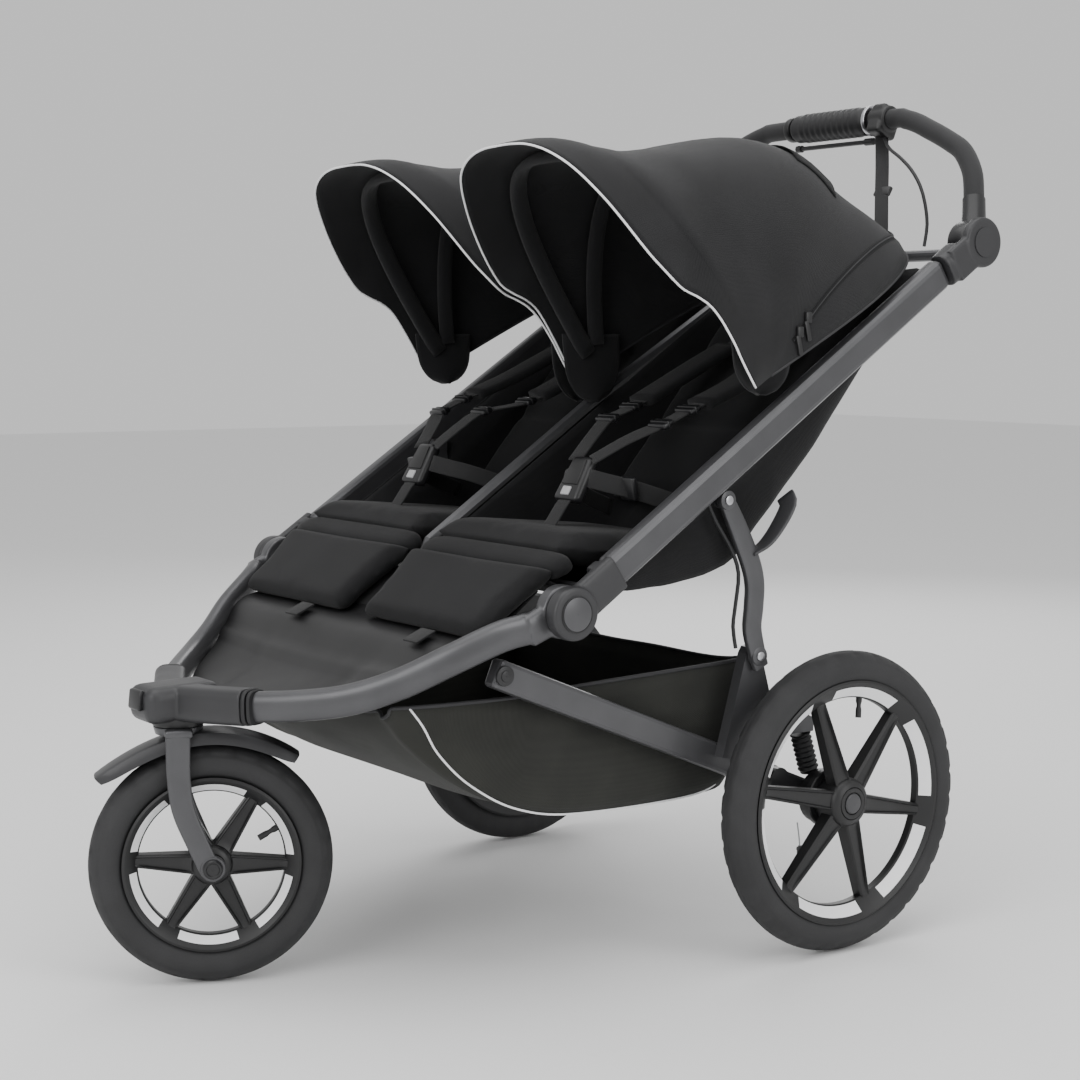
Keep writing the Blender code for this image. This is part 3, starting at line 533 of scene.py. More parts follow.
def pillow(width, depth, thick, turn, place, taper=1.0, count=(22, 18), power=8.0, edge=0.30, grooves=()):
    """A crowned closed cushion: the top and bottom meet at a seam round the edge."""
    def height(u, v):
        crown = max(0.0, (1 - abs(u) ** power)) * max(0.0, (1 - abs(v) ** power))
        rise = crown ** 0.45 * (1 - edge) + edge * min(1.0, crown * 6)
        for where, deep in grooves:
            rise *= 1 - deep * math.exp(-((v - where) / 0.045) ** 2)
        return rise * thick / 2

    columns, rows = count
    sheets = []
    for face in (1, -1):
        grid = []
        for j in range(rows + 1):
            v = -1 + 2 * j / rows
            row = []
            for i in range(columns + 1):
                u = -1 + 2 * i / columns
                pull = 1 - 0.035 * (1 - v * v) * abs(u) ** 8
                half = width / 2 * (1 + (taper - 1) * (v + 1) / 2) * pull
                spot = Vector((u * half, v * depth / 2, face * height(u, v)))
                row.append(Vector(place) + turn @ spot)
            grid.append(row)
        sheets.append(loft(grid))
    return merged(*sheets)


# ---- wheels ----
def tyre_shape(radius, turn, place, blocks):
    """An air tyre with sidewall steps, shoulder cuts and a grooved tread."""
    tube = 0.0230
    middle = radius - 0.0235
    profile = []
    for i in range(44):
        angle = math.radians(-218 + 256 * i / 43) + math.pi / 2
        r = tube
        lean = abs(math.degrees(angle) - 90)
        if 62 < lean < 66 or 100 < lean < 103:
            r -= 0.0009
        if lean < 3.5:
            r -= 0.0012
        profile.append((middle + r * math.sin(angle), r * math.cos(angle)))

    def wobble(i, k, r, h):
        angle = math.degrees(math.atan2(r - middle, h))
        lean = abs(angle - 90)
        phase = i % 5
        shifted = (i + (2 if h > 0 else 0)) % 5
        if 26 < lean < 60 and shifted == 0:
            scale = 1 - 0.0019 / tube
            return middle + (r - middle) * scale, h * scale
        if 6 < lean < 12 and phase in (0, 1):
            return r - 0.0012, h
        return r, h

    return lathe(profile, blocks * 5, turn, place, wobble)


def rim_shape(radius, opening, hub_half, hub_radius, turn, place, first):
    """Rim with one sloping face, six tapered channelled spokes and a stepped hub."""
    profile = [(radius + 0.0002, 0.0200), (radius - 0.0028, 0.0212), (radius - 0.0048, 0.0203),
               (opening + 0.0016, 0.0068), (opening, 0.0050), (opening, -0.0050),
               (opening + 0.0016, -0.0068), (radius - 0.0048, -0.0203), (radius - 0.0028, -0.0212),
               (radius + 0.0002, -0.0200), (radius - 0.0085, -0.0100), (radius - 0.0085, 0.0100)]
    shapes = [lathe(profile, 120, turn, place)]
    g, h = hub_radius, hub_half
    hub = [(0.007, h - 0.0030), (0.0142, h - 0.0030), (0.0150, h - 0.0006), (0.0162, h),
           (g - 0.0120, h - 0.0004), (g - 0.0113, h - 0.0020), (g - 0.0106, h - 0.0010),
           (g - 0.0055, h - 0.0026), (g - 0.0012, h - 0.0070), (g, h - 0.0120), (g, -0.0100),
           (g - 0.0020, -0.018), (g - 0.0080, -h), (0.007, -h)]
    shapes.append(lathe(hub, 48, turn, place))
    start, stop = 0.022, opening + 0.003
    for k in range(6):
        around = Matrix.Rotation(math.radians(first + 60 * k), 3, "Z")
        rows = []
        for i in range(13):
            t = i / 12
            reach = start + (stop - start) * t
            half = 0.0130 + (0.0080 - 0.0130) * t
            thick = 0.0105 + (0.0080 - 0.0105) * t
            dish = 0.0068 * (1 - t)
            deep = 0.0036 * min(1.0, 7 * t, 9 * (1 - t))
            section = [(half, -thick), (half, thick - 0.0026), (half - 0.0014, thick - 0.0006),
                       (half - 0.0026, thick), (half - 0.0042, thick - deep), (0, thick - deep + 0.0006),
                       (-half + 0.0042, thick - deep), (-half + 0.0026, thick),
                       (-half + 0.0014, thick - 0.0006), (-half, thick - 0.0026), (-half, -thick)]
            rows.append([Vector(place) + turn @ (around @ Vector((reach, a, b + dish)))
                         for a, b in section])
        shapes.append(loft(rows, wrap=True, caps=True))
    return merged(*shapes)


ARC_SPAN = math.radians(44.0)


def arcs_shape(radius, opening, turn, place, first):
    """Six thin reflective strips on the rim's face, one between each two spokes."""
    low, high = opening + 0.0018, radius - 0.0088
    rise = (0.0203 - 0.0068) / (radius - 0.0048 - opening - 0.0016)
    edges = [(r, 0.0068 + (r - opening - 0.0016) * rise) for r in (high, low)]
    section = [(r, h + 0.0003) for r, h in edges] + [(r, h - 0.0004) for r, h in edges[::-1]]
    shapes = []
    for k in range(6):
        middle = math.radians(first + 30 + 60 * k)
        rows = []
        for i in range(17):
            angle = middle + ARC_SPAN * (i / 16 - 0.5)
            rows.append([Vector(place) + turn @ Vector((r * math.cos(angle), r * math.sin(angle), h))
                         for r, h in section])
        shapes.append(loft(rows, wrap=True, caps=True))
    return merged(*shapes)


def add_wheel(name, radius, rim_radius, opening, hub, turn, place, body, nodes, blocks, first):
    tyre = tyre_shape(radius, turn, place, blocks)
    piece(name + "_tread", *tyre, "tyre_rubber", body, (nodes[0],), sharp=False)
    rim = rim_shape(rim_radius, opening, *hub, turn, place, first)
    piece(name + "_casting", *rim, "black_plastic", body, (nodes[1],))
    arcs = arcs_shape(rim_radius, opening, turn, place, first)
    piece(name + "_reflectors", *arcs, "reflector", body)
    around = Matrix.Rotation(math.radians(first + 90), 3, "Z")
    base = Vector(place) + turn @ (around @ Vector((opening + 0.002, 0, 0.002)))
    tip = Vector(place) + turn @ (around @ Vector((opening - 0.026, 0, 0.007)))
    stem = [base.lerp(tip, i / 8) for i in range(9)]
    valve = sweep(stem, ring(0.0072, None, 12),
                  scale=lambda t: 1.15 if t < 0.35 else 0.85 if t < 0.6 else 1.1)
    piece(name + "_valve", *valve, "soft_rubber", body)


HUB_CAP = ((0.0004, 0.0022), (0.0090, 0.0021), (0.0120, 0.0014), (0.0134, -0.0002), (0.0136, -0.0036),
           (0.0004, -0.0036))
DRUM = ((0.0110, 0.0), (0.0360, 0.0), (0.0395, 0.0025), (0.0400, 0.0110), (0.0385, 0.0125), (0.0110, 0.0125))


def add_wheels():
    for side, sign in SIDES:
        turn = outward(sign)
        body = "rear_wheel_" + side
        add_wheel(body, REAR_R, 0.162, 0.138, (0.0250, 0.0325), turn, (sign * REAR_X, 0, REAR_R), body,
                  ("rear_tyre_" + side, "rear_rim_" + side), 36, 78.0)
        cap = lathe(HUB_CAP, 40, turn, (sign * (REAR_X + 0.0250), 0, REAR_R))
        piece("hub_cap_" + side, *cap, "cap_grey", "hub_release_" + side, ("release_button_" + side,))
        drum = lathe(DRUM, 44, turn, (sign * 0.3400, 0, REAR_R))
        piece("brake_drum_" + side, *drum, "frame_dark", body)
    add_wheel("front_wheel", FRONT_R, 0.1104, 0.0910, (0.0255, 0.0262), SWIVEL @ outward(),
              caster((0, TRAIL, FRONT_R)), "front_wheel", ("front_tyre", "front_rim"), 27, 26.5)


# ---- fork, mudguard, hub casing ----
FORK_LEG = ((0.0345, -0.001, 0.3215), (0.0345, -0.001, 0.270), (0.0345, 0.004, 0.228),
            (0.0350, 0.020, 0.186), (0.0352, 0.037, 0.148))
FORK_FOOT = ((0.0064, -0.0048), (0.0150, -0.0048), (0.0162, -0.003), (0.0162, 0.003), (0.0150, 0.0048),
             (0.0064, 0.0048))
AXLE_CAP = ((0.0004, 0.0030), (0.0075, 0.0030), (0.0085, 0.0042), (0.0105, 0.0040), (0.0122, 0.0022),
            (0.0125, 0.0), (0.0004, 0.0))
CROWN = ((0.0004, 0.3165), (0.0265, 0.3165), (0.0285, 0.3174), (0.0308, 0.3256), (0.0306, 0.3266),
         (0.0004, 0.3268))
CUP = ((0.0004, 0.3274), (0.0306, 0.3274), (0.0316, 0.3284), (0.0330, 0.3345), (0.0330, 0.3420),
       (0.0004, 0.3420))


def on_caster(name, shape, finish, replaced=(), wall=0.0):
    verts, faces = shape
    piece(name, [caster(v) for v in verts], faces, finish, "caster", replaced, wall)


def add_fork():
    for side, sign in SIDES:
        path = curve_through(mirrored(sign, FORK_LEG), 30)
        leg = sweep(path, ring(0.0100, 0.031, 20, 3.4), (1, 0, 0), lambda t: 1 - 0.16 * t)
        foot = lathe(FORK_FOOT, 36, outward(), (sign * 0.0350, TRAIL, FRONT_R))
        cap = lathe(AXLE_CAP, 32, outward(sign), (sign * 0.0402, TRAIL, FRONT_R))
        first = side == "left"
        on_caster("fork_leg_" + side, merged(leg, foot), "frame_paint", ("front_fork",) if first else ())
        on_caster("axle_cap_" + side, cap, "satin_plastic", ("front_axle",) if first else ())
    crown = lathe(CROWN, 48, UPRIGHT, (0, 0, 0))
    block = box((0.080, 0.034, 0.010), (0, 0, 0.3215), None, 0.003)
    on_caster("fork_crown", merged(crown, block), "frame_paint")


def add_mudguard():
    rows = []
    for i in range(33):
        t = i / 32
        degrees = 51 + 90 * t
        angle = math.radians(degrees)
        flare = 0.166 + (0.0125 if degrees > 96 else 0.004) * abs((degrees - 96) / 45) ** 3
        half = 0.0268 * (1 - 0.22 * abs(2 * t - 1) ** 16)
        row = []
        for j in range(19):
            u = -1 + 2 * j / 18
            drop = 0.0035 * u * u + 0.0125 * max(0.0, (abs(u) - 0.76) / 0.24) ** 1.2
            drop *= 1 - 0.30 * abs(2 * t - 1) ** 8
            r = flare + 0.0035 - drop
            across = half * math.copysign(min(1, abs(u) * 1.10), u)
            row.append(Vector((across, TRAIL + r * math.cos(angle), FRONT_R + r * math.sin(angle))))
        rows.append(row)
    on_caster("front_guard", loft(rows), "casing", ("mudguard",), 0.0026)


HUB_ARM = ((0.006, -0.782, 0.3572), (0.060, -0.7565, 0.3590), (0.1085, -0.7330, 0.3612))


def add_hub():
    shapes = [box((0.066, 0.100, 0.0455), (0, -0.7785, 0.3582), tilt(1.5), 0.014, 4)]
    for side, sign in SIDES:
        path = curve_through(mirrored(sign, HUB_ARM), 12)
        shapes.append(sweep(path, ring(0.042, 0.0450, 28, 4.0), (0, 1, 0)))
    fused("hub_shell", shapes, "casing", "chassis", ("hub_casing",), 0.0014, 3)
    for side, sign in SIDES:
        for k, (low, high) in enumerate(((0.0, 0.006), (0.0075, 0.0125))):
            run = Vector((sign * 0.905, 0.425, 0.040)).normalized()
            base = Vector((sign * 0.1095, -0.7325, 0.3613))
            path = [base + run * (low + (high - low) * i / 4) for i in range(5)]
            sleeve = sweep(path, ring(0.0400 - 0.003 * k, 0.0445 - 0.002 * k, 28, 3.6), (0, 1, 0),
                           lambda t: 1 - 0.05 * abs(2 * t - 1) ** 4)
            piece("tube_sleeve_%s_%d" % (side, k), *sleeve, "soft_rubber", "chassis")
    piece("hub_cup", *lathe(CUP, 48, UPRIGHT, STEER), "black_plastic", "chassis")
    latch = box((0.0315, 0.0085, 0.0255), (0, -0.8300, 0.3640), tilt(-6), 0.0032, 3, 0.86)
    piece("swivel_latch", *latch, "frame_dark", "swivel_lock", ("swivel_lock_button",))


# ---- frame hardware ----
SLOPE = math.atan(0.671)
FOLD = Vector((0, -0.441, 0.482))
HANDLE = Vector((0, 0.240, 0.937))
SLEEVE = 0.0718                     # how far a casing reaches along the side tube
STRUT = ((-0.176, 0.603), (-0.156, 0.567), (-0.134, 0.522), (-0.126, 0.493), (-0.127, 0.462),
         (-0.129, 0.434), (-0.119, 0.399), (-0.113, 0.384))
BELLOWS = ([(0.0004, 0.0560), (0.0120, 0.0560)]
           + [(0.0142 - 0.0026 * (i % 2), 0.0545 - 0.00350 * i) for i in range(16)]
           + [(0.0120, 0.0), (0.0004, 0.0)])
ADJUSTER = ((0.0008, 0.0), (0.0048, 0.0), (0.0048, 0.006), (0.0032, 0.011), (0.0008, 0.011))
BRAKE_WIRE = ((0.331, -0.040, 0.168), (0.333, -0.037, 0.140), (0.333, -0.034, 0.104))
CAP_RING = ((0.0212, 0.0), (0.0225, 0.0), (0.0225, 0.0009), (0.0212, 0.0009))
KEPT = {"footrest_crossbar": "frame_paint", "rear_crossbar": "frame_paint", "seat_frame": "frame_paint",
        "brake_pedal": "black_plastic", "squeeze_lever": "frame_dark", "brake_cable_lower": "soft_rubber",
        "brake_cable_upper": "soft_rubber"}
KEPT_PAIRS = {"side_tube_": "frame_paint", "rail_": "frame_paint", "rear_bracket_": "frame_paint",
              "suspension_arm_": "satin_plastic", "height_button_": "casing"}


def add_frame():
    for side, sign in SIDES:
        for base, finish in KEPT_PAIRS.items():
            recover(base + side, finish)
        add_front_tube(side, sign)
        add_casing("fold_moulding_" + side, FOLD, sign, 1, 0.0325, (0.3577, 0.3785), (0.3660, 0.0165, 0.012),
                   (0.3575, 0.0305, 0.056), "fold_housing_" + side)
        add_casing("handle_moulding_" + side, HANDLE, sign, -1, 0.0340, (0.3662, 0.3800),
                   (0.3725, 0.0130, 0.010), (0.3602, 0.0350, 0.0345), "handle_casing_" + side)
        face = sign * 0.3785
        cap = disc(0.0205, face - sign * 0.001, face + sign * 0.0016, FOLD.y, FOLD.z, 0.0008, 48)
        piece("fold_cap_" + side, *cap, "frame_paint", "upper_frame")
        trim = lathe(CAP_RING, 48, outward(sign), (face, FOLD.y, FOLD.z))
        piece("fold_ring_" + side, *trim, "frame_dark", "upper_frame")
        add_strut(side, sign)
        bolt = merged(disc(0.0125, sign * 0.3118, sign * 0.3165, -0.500, 0.4055, 0.0012, 32),
                      disc(0.0070, sign * 0.3150, sign * 0.3180, -0.500, 0.4055, 0.0010, 24))
        piece("rail_bolt_" + side, *bolt, "frame_dark", "rear_chassis")
        add_arm_parts(side, sign, "arm_" + side)
    for node, finish in KEPT.items():
        recover(node, finish)


def add_strut(side, sign):
    path = curve_through([(sign * 0.3355, y, z) for y, z in STRUT], 40)
    bar = sweep(path, ring(0.0120, 0.0290, 20, 4.0), (1, 0, 0), lambda t: 1 - 0.22 * abs(2 * t - 1) ** 3)
    pins = (STRUT[0], STRUT[-2])
    ends = [disc(0.0125, sign * 0.3296, sign * 0.3414, y, z, 0.0015, 36) for y, z in pins]
    piece("strut_plate_" + side, *merged(bar, *ends), "frame_paint", "struts", ("strut_" + side,))
    for y, z in pins:
        rivet = disc(0.0062, sign * 0.3413, sign * 0.3436, y, z, 0.001, 24)
        piece("strut_rivet_%s_%d" % (side, round(z * 1000)), *rivet, "steel", "struts")


def add_arm_parts(side, sign, body):
    """The bellows over the spring, the brake wire and its adjuster."""
    folds = lathe(BELLOWS, 32, tilt(18), (sign * 0.3165, -0.0070, 0.2315))
    bellows = piece("bellows_boot_" + side, *folds, "soft_rubber", body, ("bellows_" + side,))
    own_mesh(bellows)
    wire = mirrored(sign, BRAKE_WIRE)
    pipe("brake_wire_" + side, wire, 0.0011, "steel", body, 12, 6)
    adjuster = merged(lathe(ADJUSTER, 16, tilt(-4), (sign * 0.333, -0.0355, 0.1255)),
                      box((0.010, 0.016, 0.005), (sign * 0.333, -0.031, 0.1300), tilt(-20), 0.001, 2))
    piece("brake_adjuster_" + side, *adjuster, "cap_grey", body)


FRONT_TUBE = ((0.112, -0.731, 0.3615), (0.163, -0.693, 0.3670), (0.210, -0.652, 0.3770),
              (0.250, -0.607, 0.3970), (0.288, -0.561, 0.4260), (0.320, -0.511, 0.4540),
              (0.3445, -0.4845, 0.4655))


def add_front_tube(side, sign):
    """The bent tube from the hub casing to the fold pivot, running into its pivot disc."""
    path = curve_through(mirrored(sign, FRONT_TUBE), 70)
    lean = math.radians(203)
    along = Vector((0, math.cos(lean), math.sin(lean)))
    tongue = [Vector((sign * 0.3463, FOLD.y, FOLD.z)) + along * 0.052 * i / 12 for i in range(13)]
    shapes = [sweep(path, ring(0.0262, 0.0385, 28, 2.5), (sign, -1, 0)),
              disc(0.0325, sign * 0.3362, sign * 0.3565, FOLD.y, FOLD.z, 0.003, 56),
              sweep(tongue, ring(0.0200, 0.0440, 24, 2.8), (1, 0, 0), lambda t: 1 - 0.10 * t)]
    fused("front_bar_" + side, shapes, "frame_paint", "chassis", ("front_tube_" + side,), 0.0016, 6)


def add_casing(name, centre, sign, way, radius, thick, neck, sleeve, node):
    """A pivot disc, a neck and an oval sleeve over the side tube, melted into one moulding."""
    along = Vector((0, math.cos(SLOPE), math.sin(SLOPE))) * way

    def spots(x, low, high):
        start = Vector((sign * x, centre.y, centre.z))
        return [start + along * (low + (high - low) * i / 14) for i in range(15)]

    shapes = [disc(radius, sign * thick[0], sign * thick[1], centre.y, centre.z, 0.0035, 56),
              sweep(spots(neck[0], neck[2], sleeve[2] + 0.026), ring(neck[1], 0.0470, 24, 5.0), (1, 0, 0)),
              sweep(spots(sleeve[0], sleeve[2], SLEEVE), ring(sleeve[1], 0.0475, 28, 3.0), (1, 0, 0),
                    lambda t: min(1.0, 0.86 + 1.6 * t) - 0.03 * t ** 3)]
    fused(name, shapes, "casing", "upper_frame", (node,), 0.0014, 10)


def recover(node, finish):
    """A better material on a CAD node that keeps its shape, shaded smooth."""
    thing = NODES[node]
    thing.data.materials.clear()
    thing.data.materials.append(MATS[finish])
    soften(thing)


# ---- handlebar ----
LEAN = math.radians(67.5)
UP = Vector((0, math.cos(LEAN), math.sin(LEAN)))
BAR = HANDLE + UP * 0.207
HANDLE_PATH = ((0.3525, 0.018), (0.3431, 0.0448), (0.3356, 0.0646), (0.3275, 0.0850), (0.3185, 0.1040),
               (0.3040, 0.1235), (0.2834, 0.1437), (0.2580, 0.1580), (0.2313, 0.1712), (0.2050, 0.1830),
               (0.1780, 0.1950), (0.1500, 0.2035), (0.1180, 0.2070))


def on_handle(x, up):
    """A point of the handle's plane: x across and up along it from the pivots."""
    return Vector((x, HANDLE.y, HANDLE.z)) + UP * up


GRIP_RING = ((0.0143, 0), (0.0218, 0), (0.0224, 0.001), (0.0224, 0.0055), (0.0218, 0.0065),
             (0.0143, 0.0065))


def add_handlebar():
    half = [on_handle(x, up) for x, up in HANDLE_PATH]
    path = curve_through(half + [Vector((-p.x, p.y, p.z)) for p in half[::-1]], 90)
    bar = sweep(path, ring(0.0282, None, 24))
    piece("handle_foam", *bar, "grip_foam", "handle", ("handlebar",), sharp=False)
    for side, sign in SIDES:
        path = curve_through([on_handle(sign * x, up) for x, up in HANDLE_PATH[:3]], 10)
        sleeve = sweep(path, ring(0.0315, None, 24), scale=lambda t: 1 + 0.10 * (1 - t) ** 2)
        hub = disc(0.0300, sign * 0.3375, sign * 0.3655, HANDLE.y, HANDLE.z, 0.004, 48)
        piece("handle_sleeve_" + side, *merged(sleeve, hub), "satin_plastic", "handle")
    length, profile = 0.156, []
    for i in range(53):
        x = length * i / 52
        rib = 0.0011 if 6 < i < 46 and i % 4 < 2 else 0.0
        profile.append((0.0210 + rib - 0.004 * max(0.0, abs(2 * i / 52 - 1) - 0.93) / 0.07, x))
    profile += [(0.0145, length), (0.0145, 0)]
    ribs = lathe(profile, 48, outward(), (-0.078, BAR.y, BAR.z))
    piece("grip_ribbed", *ribs, "soft_rubber", "grip", ("twist_grip",))
    steel = lathe(GRIP_RING, 48, outward(), (0.0800, BAR.y, BAR.z))
    piece("grip_ring", *steel, "steel", "handle")
    block = [box((0.028, 0.040, 0.046), (0.1060, BAR.y, BAR.z - 0.004), tilt(-22), 0.006, 3),
             disc(0.0195, 0.0895, 0.1225, BAR.y, BAR.z, 0.003)]
    fused("strap_holder", block, "black_plastic", "handle", (), 0.0012, 3)
    collar = disc(0.0190, -0.0930, -0.0800, BAR.y, BAR.z, 0.003)
    piece("grip_end_collar", *collar, "black_plastic", "handle")
    points = [(0.1065, BAR.y - 0.004, BAR.z - 0.0240), (0.1090, 0.314, 1.0850), (0.1280, 0.296, 1.0550),
              (0.1620, 0.262, 1.0010), (0.2050, 0.220, 0.9330)]
    band = strap("wrist_strap", points, 0.021, (0.85, 0.3, 0.1), "handle", replaced=("safety_strap",))
    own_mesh(band)
    slider = box((0.030, 0.007, 0.015), (0.1500, 0.2765, 1.0190), tilt(-30), 0.0022, 2)
    piece("strap_slider", *slider, "black_plastic", "handle")


# ---- canopies ----
CANOPY = Vector((0, -0.140, 0.760))
CANOPY_MID, CANOPY_HALF = 0.190, 0.1870
FRONT_BOW, BACK_EDGE = 126.0, 27.0  # degrees round the pivot, from straight back
VISOR = 0.25                        # share of the rows that lie ahead of the front bow
HOOD_ROWS, HOOD_COLUMNS = 36, 48
REACH = ((24, 0.378), (29, 0.378), (36, 0.358), (46, 0.334), (54, 0.324), (65, 0.325), (77, 0.316),
         (90, 0.302), (102, 0.299), (117, 0.3175), (128, 0.364), (134, 0.393), (140, 0.410))


def canopy_spot(sign, t, degrees, inset=0.0):
    """A point of the canopy: t runs from one side (-1) over the top (0) to the other (+1)."""
    angle = (1 - abs(t)) * math.pi / 2
    share = math.sin(angle) ** (2 / 3)
    across = math.copysign(math.cos(angle) ** (2 / 3), t) if t else 0.0
    reach = value_at(REACH, degrees) * share
    y = CANOPY.y + (reach - inset) * math.cos(math.radians(degrees))
    z = CANOPY.z + (reach - inset) * math.sin(math.radians(degrees))
    return Vector((sign * (CANOPY_MID + across * (CANOPY_HALF - inset)), y, z))


def hem_spot(sign, t):
    """The front hem, which runs forward from the pivot, kinks, and sweeps up to the visor."""
    u = 1 - abs(t)
    across, y, z = (value_at([(p[0], p[k]) for p in HEM_POINTS], u) for k in (1, 2, 3))
    return Vector((sign * (CANOPY_MID + math.copysign(min(across, CANOPY_HALF), t)), y, z))


HEM_RAW = ((0.189, -0.164, 0.745), (0.187, -0.184, 0.774), (0.187, -0.198, 0.797), (0.186, -0.214, 0.820),
           (0.184, -0.230, 0.840), (0.181, -0.245, 0.852), (0.178, -0.267, 0.862), (0.180, -0.283, 0.868),
           (0.182, -0.295, 0.877), (0.174, -0.322, 0.904), (0.163, -0.349, 0.938), (0.150, -0.371, 0.968),
           (0.127, -0.396, 1.002), (0.108, -0.407, 1.018), (0.082, -0.414, 1.031), (0.046, -0.417, 1.040),
           (0.0, -0.413, 1.043))


def hem_table():
    lengths = [0.0]
    for a, b in zip(HEM_RAW, HEM_RAW[1:]):
        lengths.append(lengths[-1] + (Vector(b) - Vector(a)).length)
    return [(s / lengths[-1], *p) for s, p in zip(lengths, HEM_RAW)]


HEM_POINTS = hem_table()


def canopy_grid(sign):
    """Rows from the hem to the back edge, columns from side to side."""
    grid = []
    for i in range(HOOD_ROWS + 1):
        v = i / HOOD_ROWS
        row = []
        for j in range(HOOD_COLUMNS + 1):
            t = -1 + 2 * j / HOOD_COLUMNS
            if v < VISOR:
                s = v / VISOR
                point = hem_spot(sign, t).lerp(canopy_spot(sign, t, FRONT_BOW), s)
                point += Vector((0, 0, math.sin(s * math.pi) * 0.006 * (1 - abs(t) ** 4)))
            else:
                s = (v - VISOR) / (1 - VISOR)
                degrees = FRONT_BOW + (BACK_EDGE - FRONT_BOW) * s
                point = canopy_spot(sign, t, degrees)
                sag = math.sin(s * math.pi * 2) ** 2 * 0.004 * (1 - abs(t) ** 3)
                wave = noise.noise(Vector((point.x * 9, degrees * 0.045, point.z * 7))) * 0.0035
                out = point - Vector((sign * CANOPY_MID, CANOPY.y, CANOPY.z))
                point = point + out.normalized() * (wave * (1 - abs(t) ** 6) - sag)
            row.append(point)
        grid.append(row)
    return grid


def on_hood(thing):
    """Cloth of the hood, with its placement baked into its mesh."""
    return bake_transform(thing)


def on_grid(grid, v, t, out=0.0):
    """A point of the finished hood cloth, out metres off it; v and t run over its rows and columns."""
    i = min(v * HOOD_ROWS, HOOD_ROWS - 0.001)
    j = min((t + 1) / 2 * HOOD_COLUMNS, HOOD_COLUMNS - 0.001)
    a, b = int(i), int(j)
    left, right = (grid[a][k].lerp(grid[a + 1][k], i - a) for k in (b, b + 1))
    point = left.lerp(right, j - b)
    middle = (grid[0][HOOD_COLUMNS // 2] + grid[-1][HOOD_COLUMNS // 2]) / 2
    return point + (point - Vector((middle.x, CANOPY.y, CANOPY.z))).normalized() * out


def at_degrees(degrees):
    """The row of the hood cloth, as a share of its length, at an angle round the pivot."""
    return VISOR + (1 - VISOR) * (FRONT_BOW - degrees) / (FRONT_BOW - BACK_EDGE)


def add_canopies():
    for side, sign in SIDES:
        grid = canopy_grid(sign)

        def soft(name, shape, finish, wall=0.0, replaced=()):
            thing = piece("%s_%s" % (name, side), *shape, finish, None, replaced, wall, False)
            return on_hood(thing)

        def edging(name, points, radius, finish, count, sides=8):
            on_hood(pipe("%s_%s" % (name, side), points, radius, finish, None, count, sides))

        hood = soft("hood_cloth", loft(grid), "canopy_fabric", 0.0016, ("canopy_" + side,))
        edging("hood_piping", [p + Vector((0, -0.0012, 0)) for p in grid[0]], 0.0014, "piping", 110)
        edging("hood_back_edge", grid[-1], 0.0018, "dark_piping", 80)
        band = [on_grid(grid, at_degrees(max(33.0, 50 - 25 * (1 - abs(t)))), t, 0.0010)
                for t in [-0.955 + 1.91 * j / 40 for j in range(41)]]
        tape = sweep(curve_through(band, 90), ring(0.0090, 0.0018, 10, 5.0), (0, 1, -0.9))
        soft("hood_zip_tape", tape, "lining_fabric")
        teeth = [p + Vector((0, 0.0008, 0.0012)) for p in band]
        edging("hood_zip_teeth", teeth, 0.0012, "dark_piping", 120, 6)
        for k, t in ((1, 0.90), (2, 0.935)):
            spot = on_grid(grid, at_degrees(50), t, 0.0035)
            tag = spot + Vector((sign * 0.002, -0.002, -0.017))
            pull = merged(box((0.006, 0.010, 0.014), spot, None, 0.0016, 2),
                          box((0.003, 0.007, 0.026), tag, tilt(14), 0.0012, 2))
            thing = piece("hood_zip_pull_%d_%s" % (k, side), *pull, "black_plastic", None)
            on_hood(thing)
        flap = [[on_grid(grid, at_degrees(56 + 13 * i / 6), 0.08 + (0.34 - 0.018 * i) * j / 10,
                         0.0022 + 0.0030 * math.sin(math.pi * j / 10)) for j in range(11)]
                for i in range(7)]
        soft("hood_window_flap", loft(flap), "lining_fabric", 0.0012)
        bow = bow_shape(sign, 0.97, FRONT_BOW, 0.016, 60, ring(0.027, 0.014, 16, 2.4), (0, 1, 0.6))
        piece("hood_bow_" + side, *bow, "canopy_fabric", "hood_" + side, ("canopy_bow_" + side,),
              sharp=False)
        bow = bow_shape(sign, 0.95, 96, 0.017, 50, ring(0.025, 0.013, 16, 2.4), (0, 1, 0.2))
        soft("hood_inner_bow", bow, "canopy_fabric")
        for word, x, way, drop in (("in", 0.0135, 0.012, 0.094), ("out", 0.3665, -0.012, 0.076)):
            pouch = pocket_grid(sign, x, way, drop)
            pocket = piece("hood_pocket_%s_%s" % (word, side), *loft(pouch), "canopy_fabric", "upper_frame",
                           wall=0.0022, sharp=False)


def bow_shape(sign, share, degrees, inset, count, section, side):
    """A bow under the cloth, which covers that share of the way down to both pivots."""
    path = [canopy_spot(sign, -share + 2 * share * j / 30, degrees, inset) for j in range(31)]
    return sweep(curve_through(path, count), section, side)


def pocket_grid(sign, x, way, drop):
    """A cloth pocket over a hood pivot: x is its plane and way how far it stands off."""
    rows = []
    for i in range(15):
        v = i / 14
        wide = 0.050 * (1 - 0.12 * v) * max(0.02, 1 - max(0.0, (v - 0.35) / 0.65) ** 2.6) ** 0.5
        row = []
        for k in range(17):
            u = -1 + k / 8
            off = way * math.cos(u * math.pi / 2) * (0.4 + 0.6 * v)
            row.append(Vector((sign * (x + off), -0.148 + wide * u + 0.004 * v, 0.812 - drop * v)))
        rows.append(row)
    return rows


# ---- seats ----
SEAT_MID, SEAT_WIDE = 0.168, 0.304


def on_back(thing):
    """Cloth between the seat and the reclining back."""
    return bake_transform(thing)


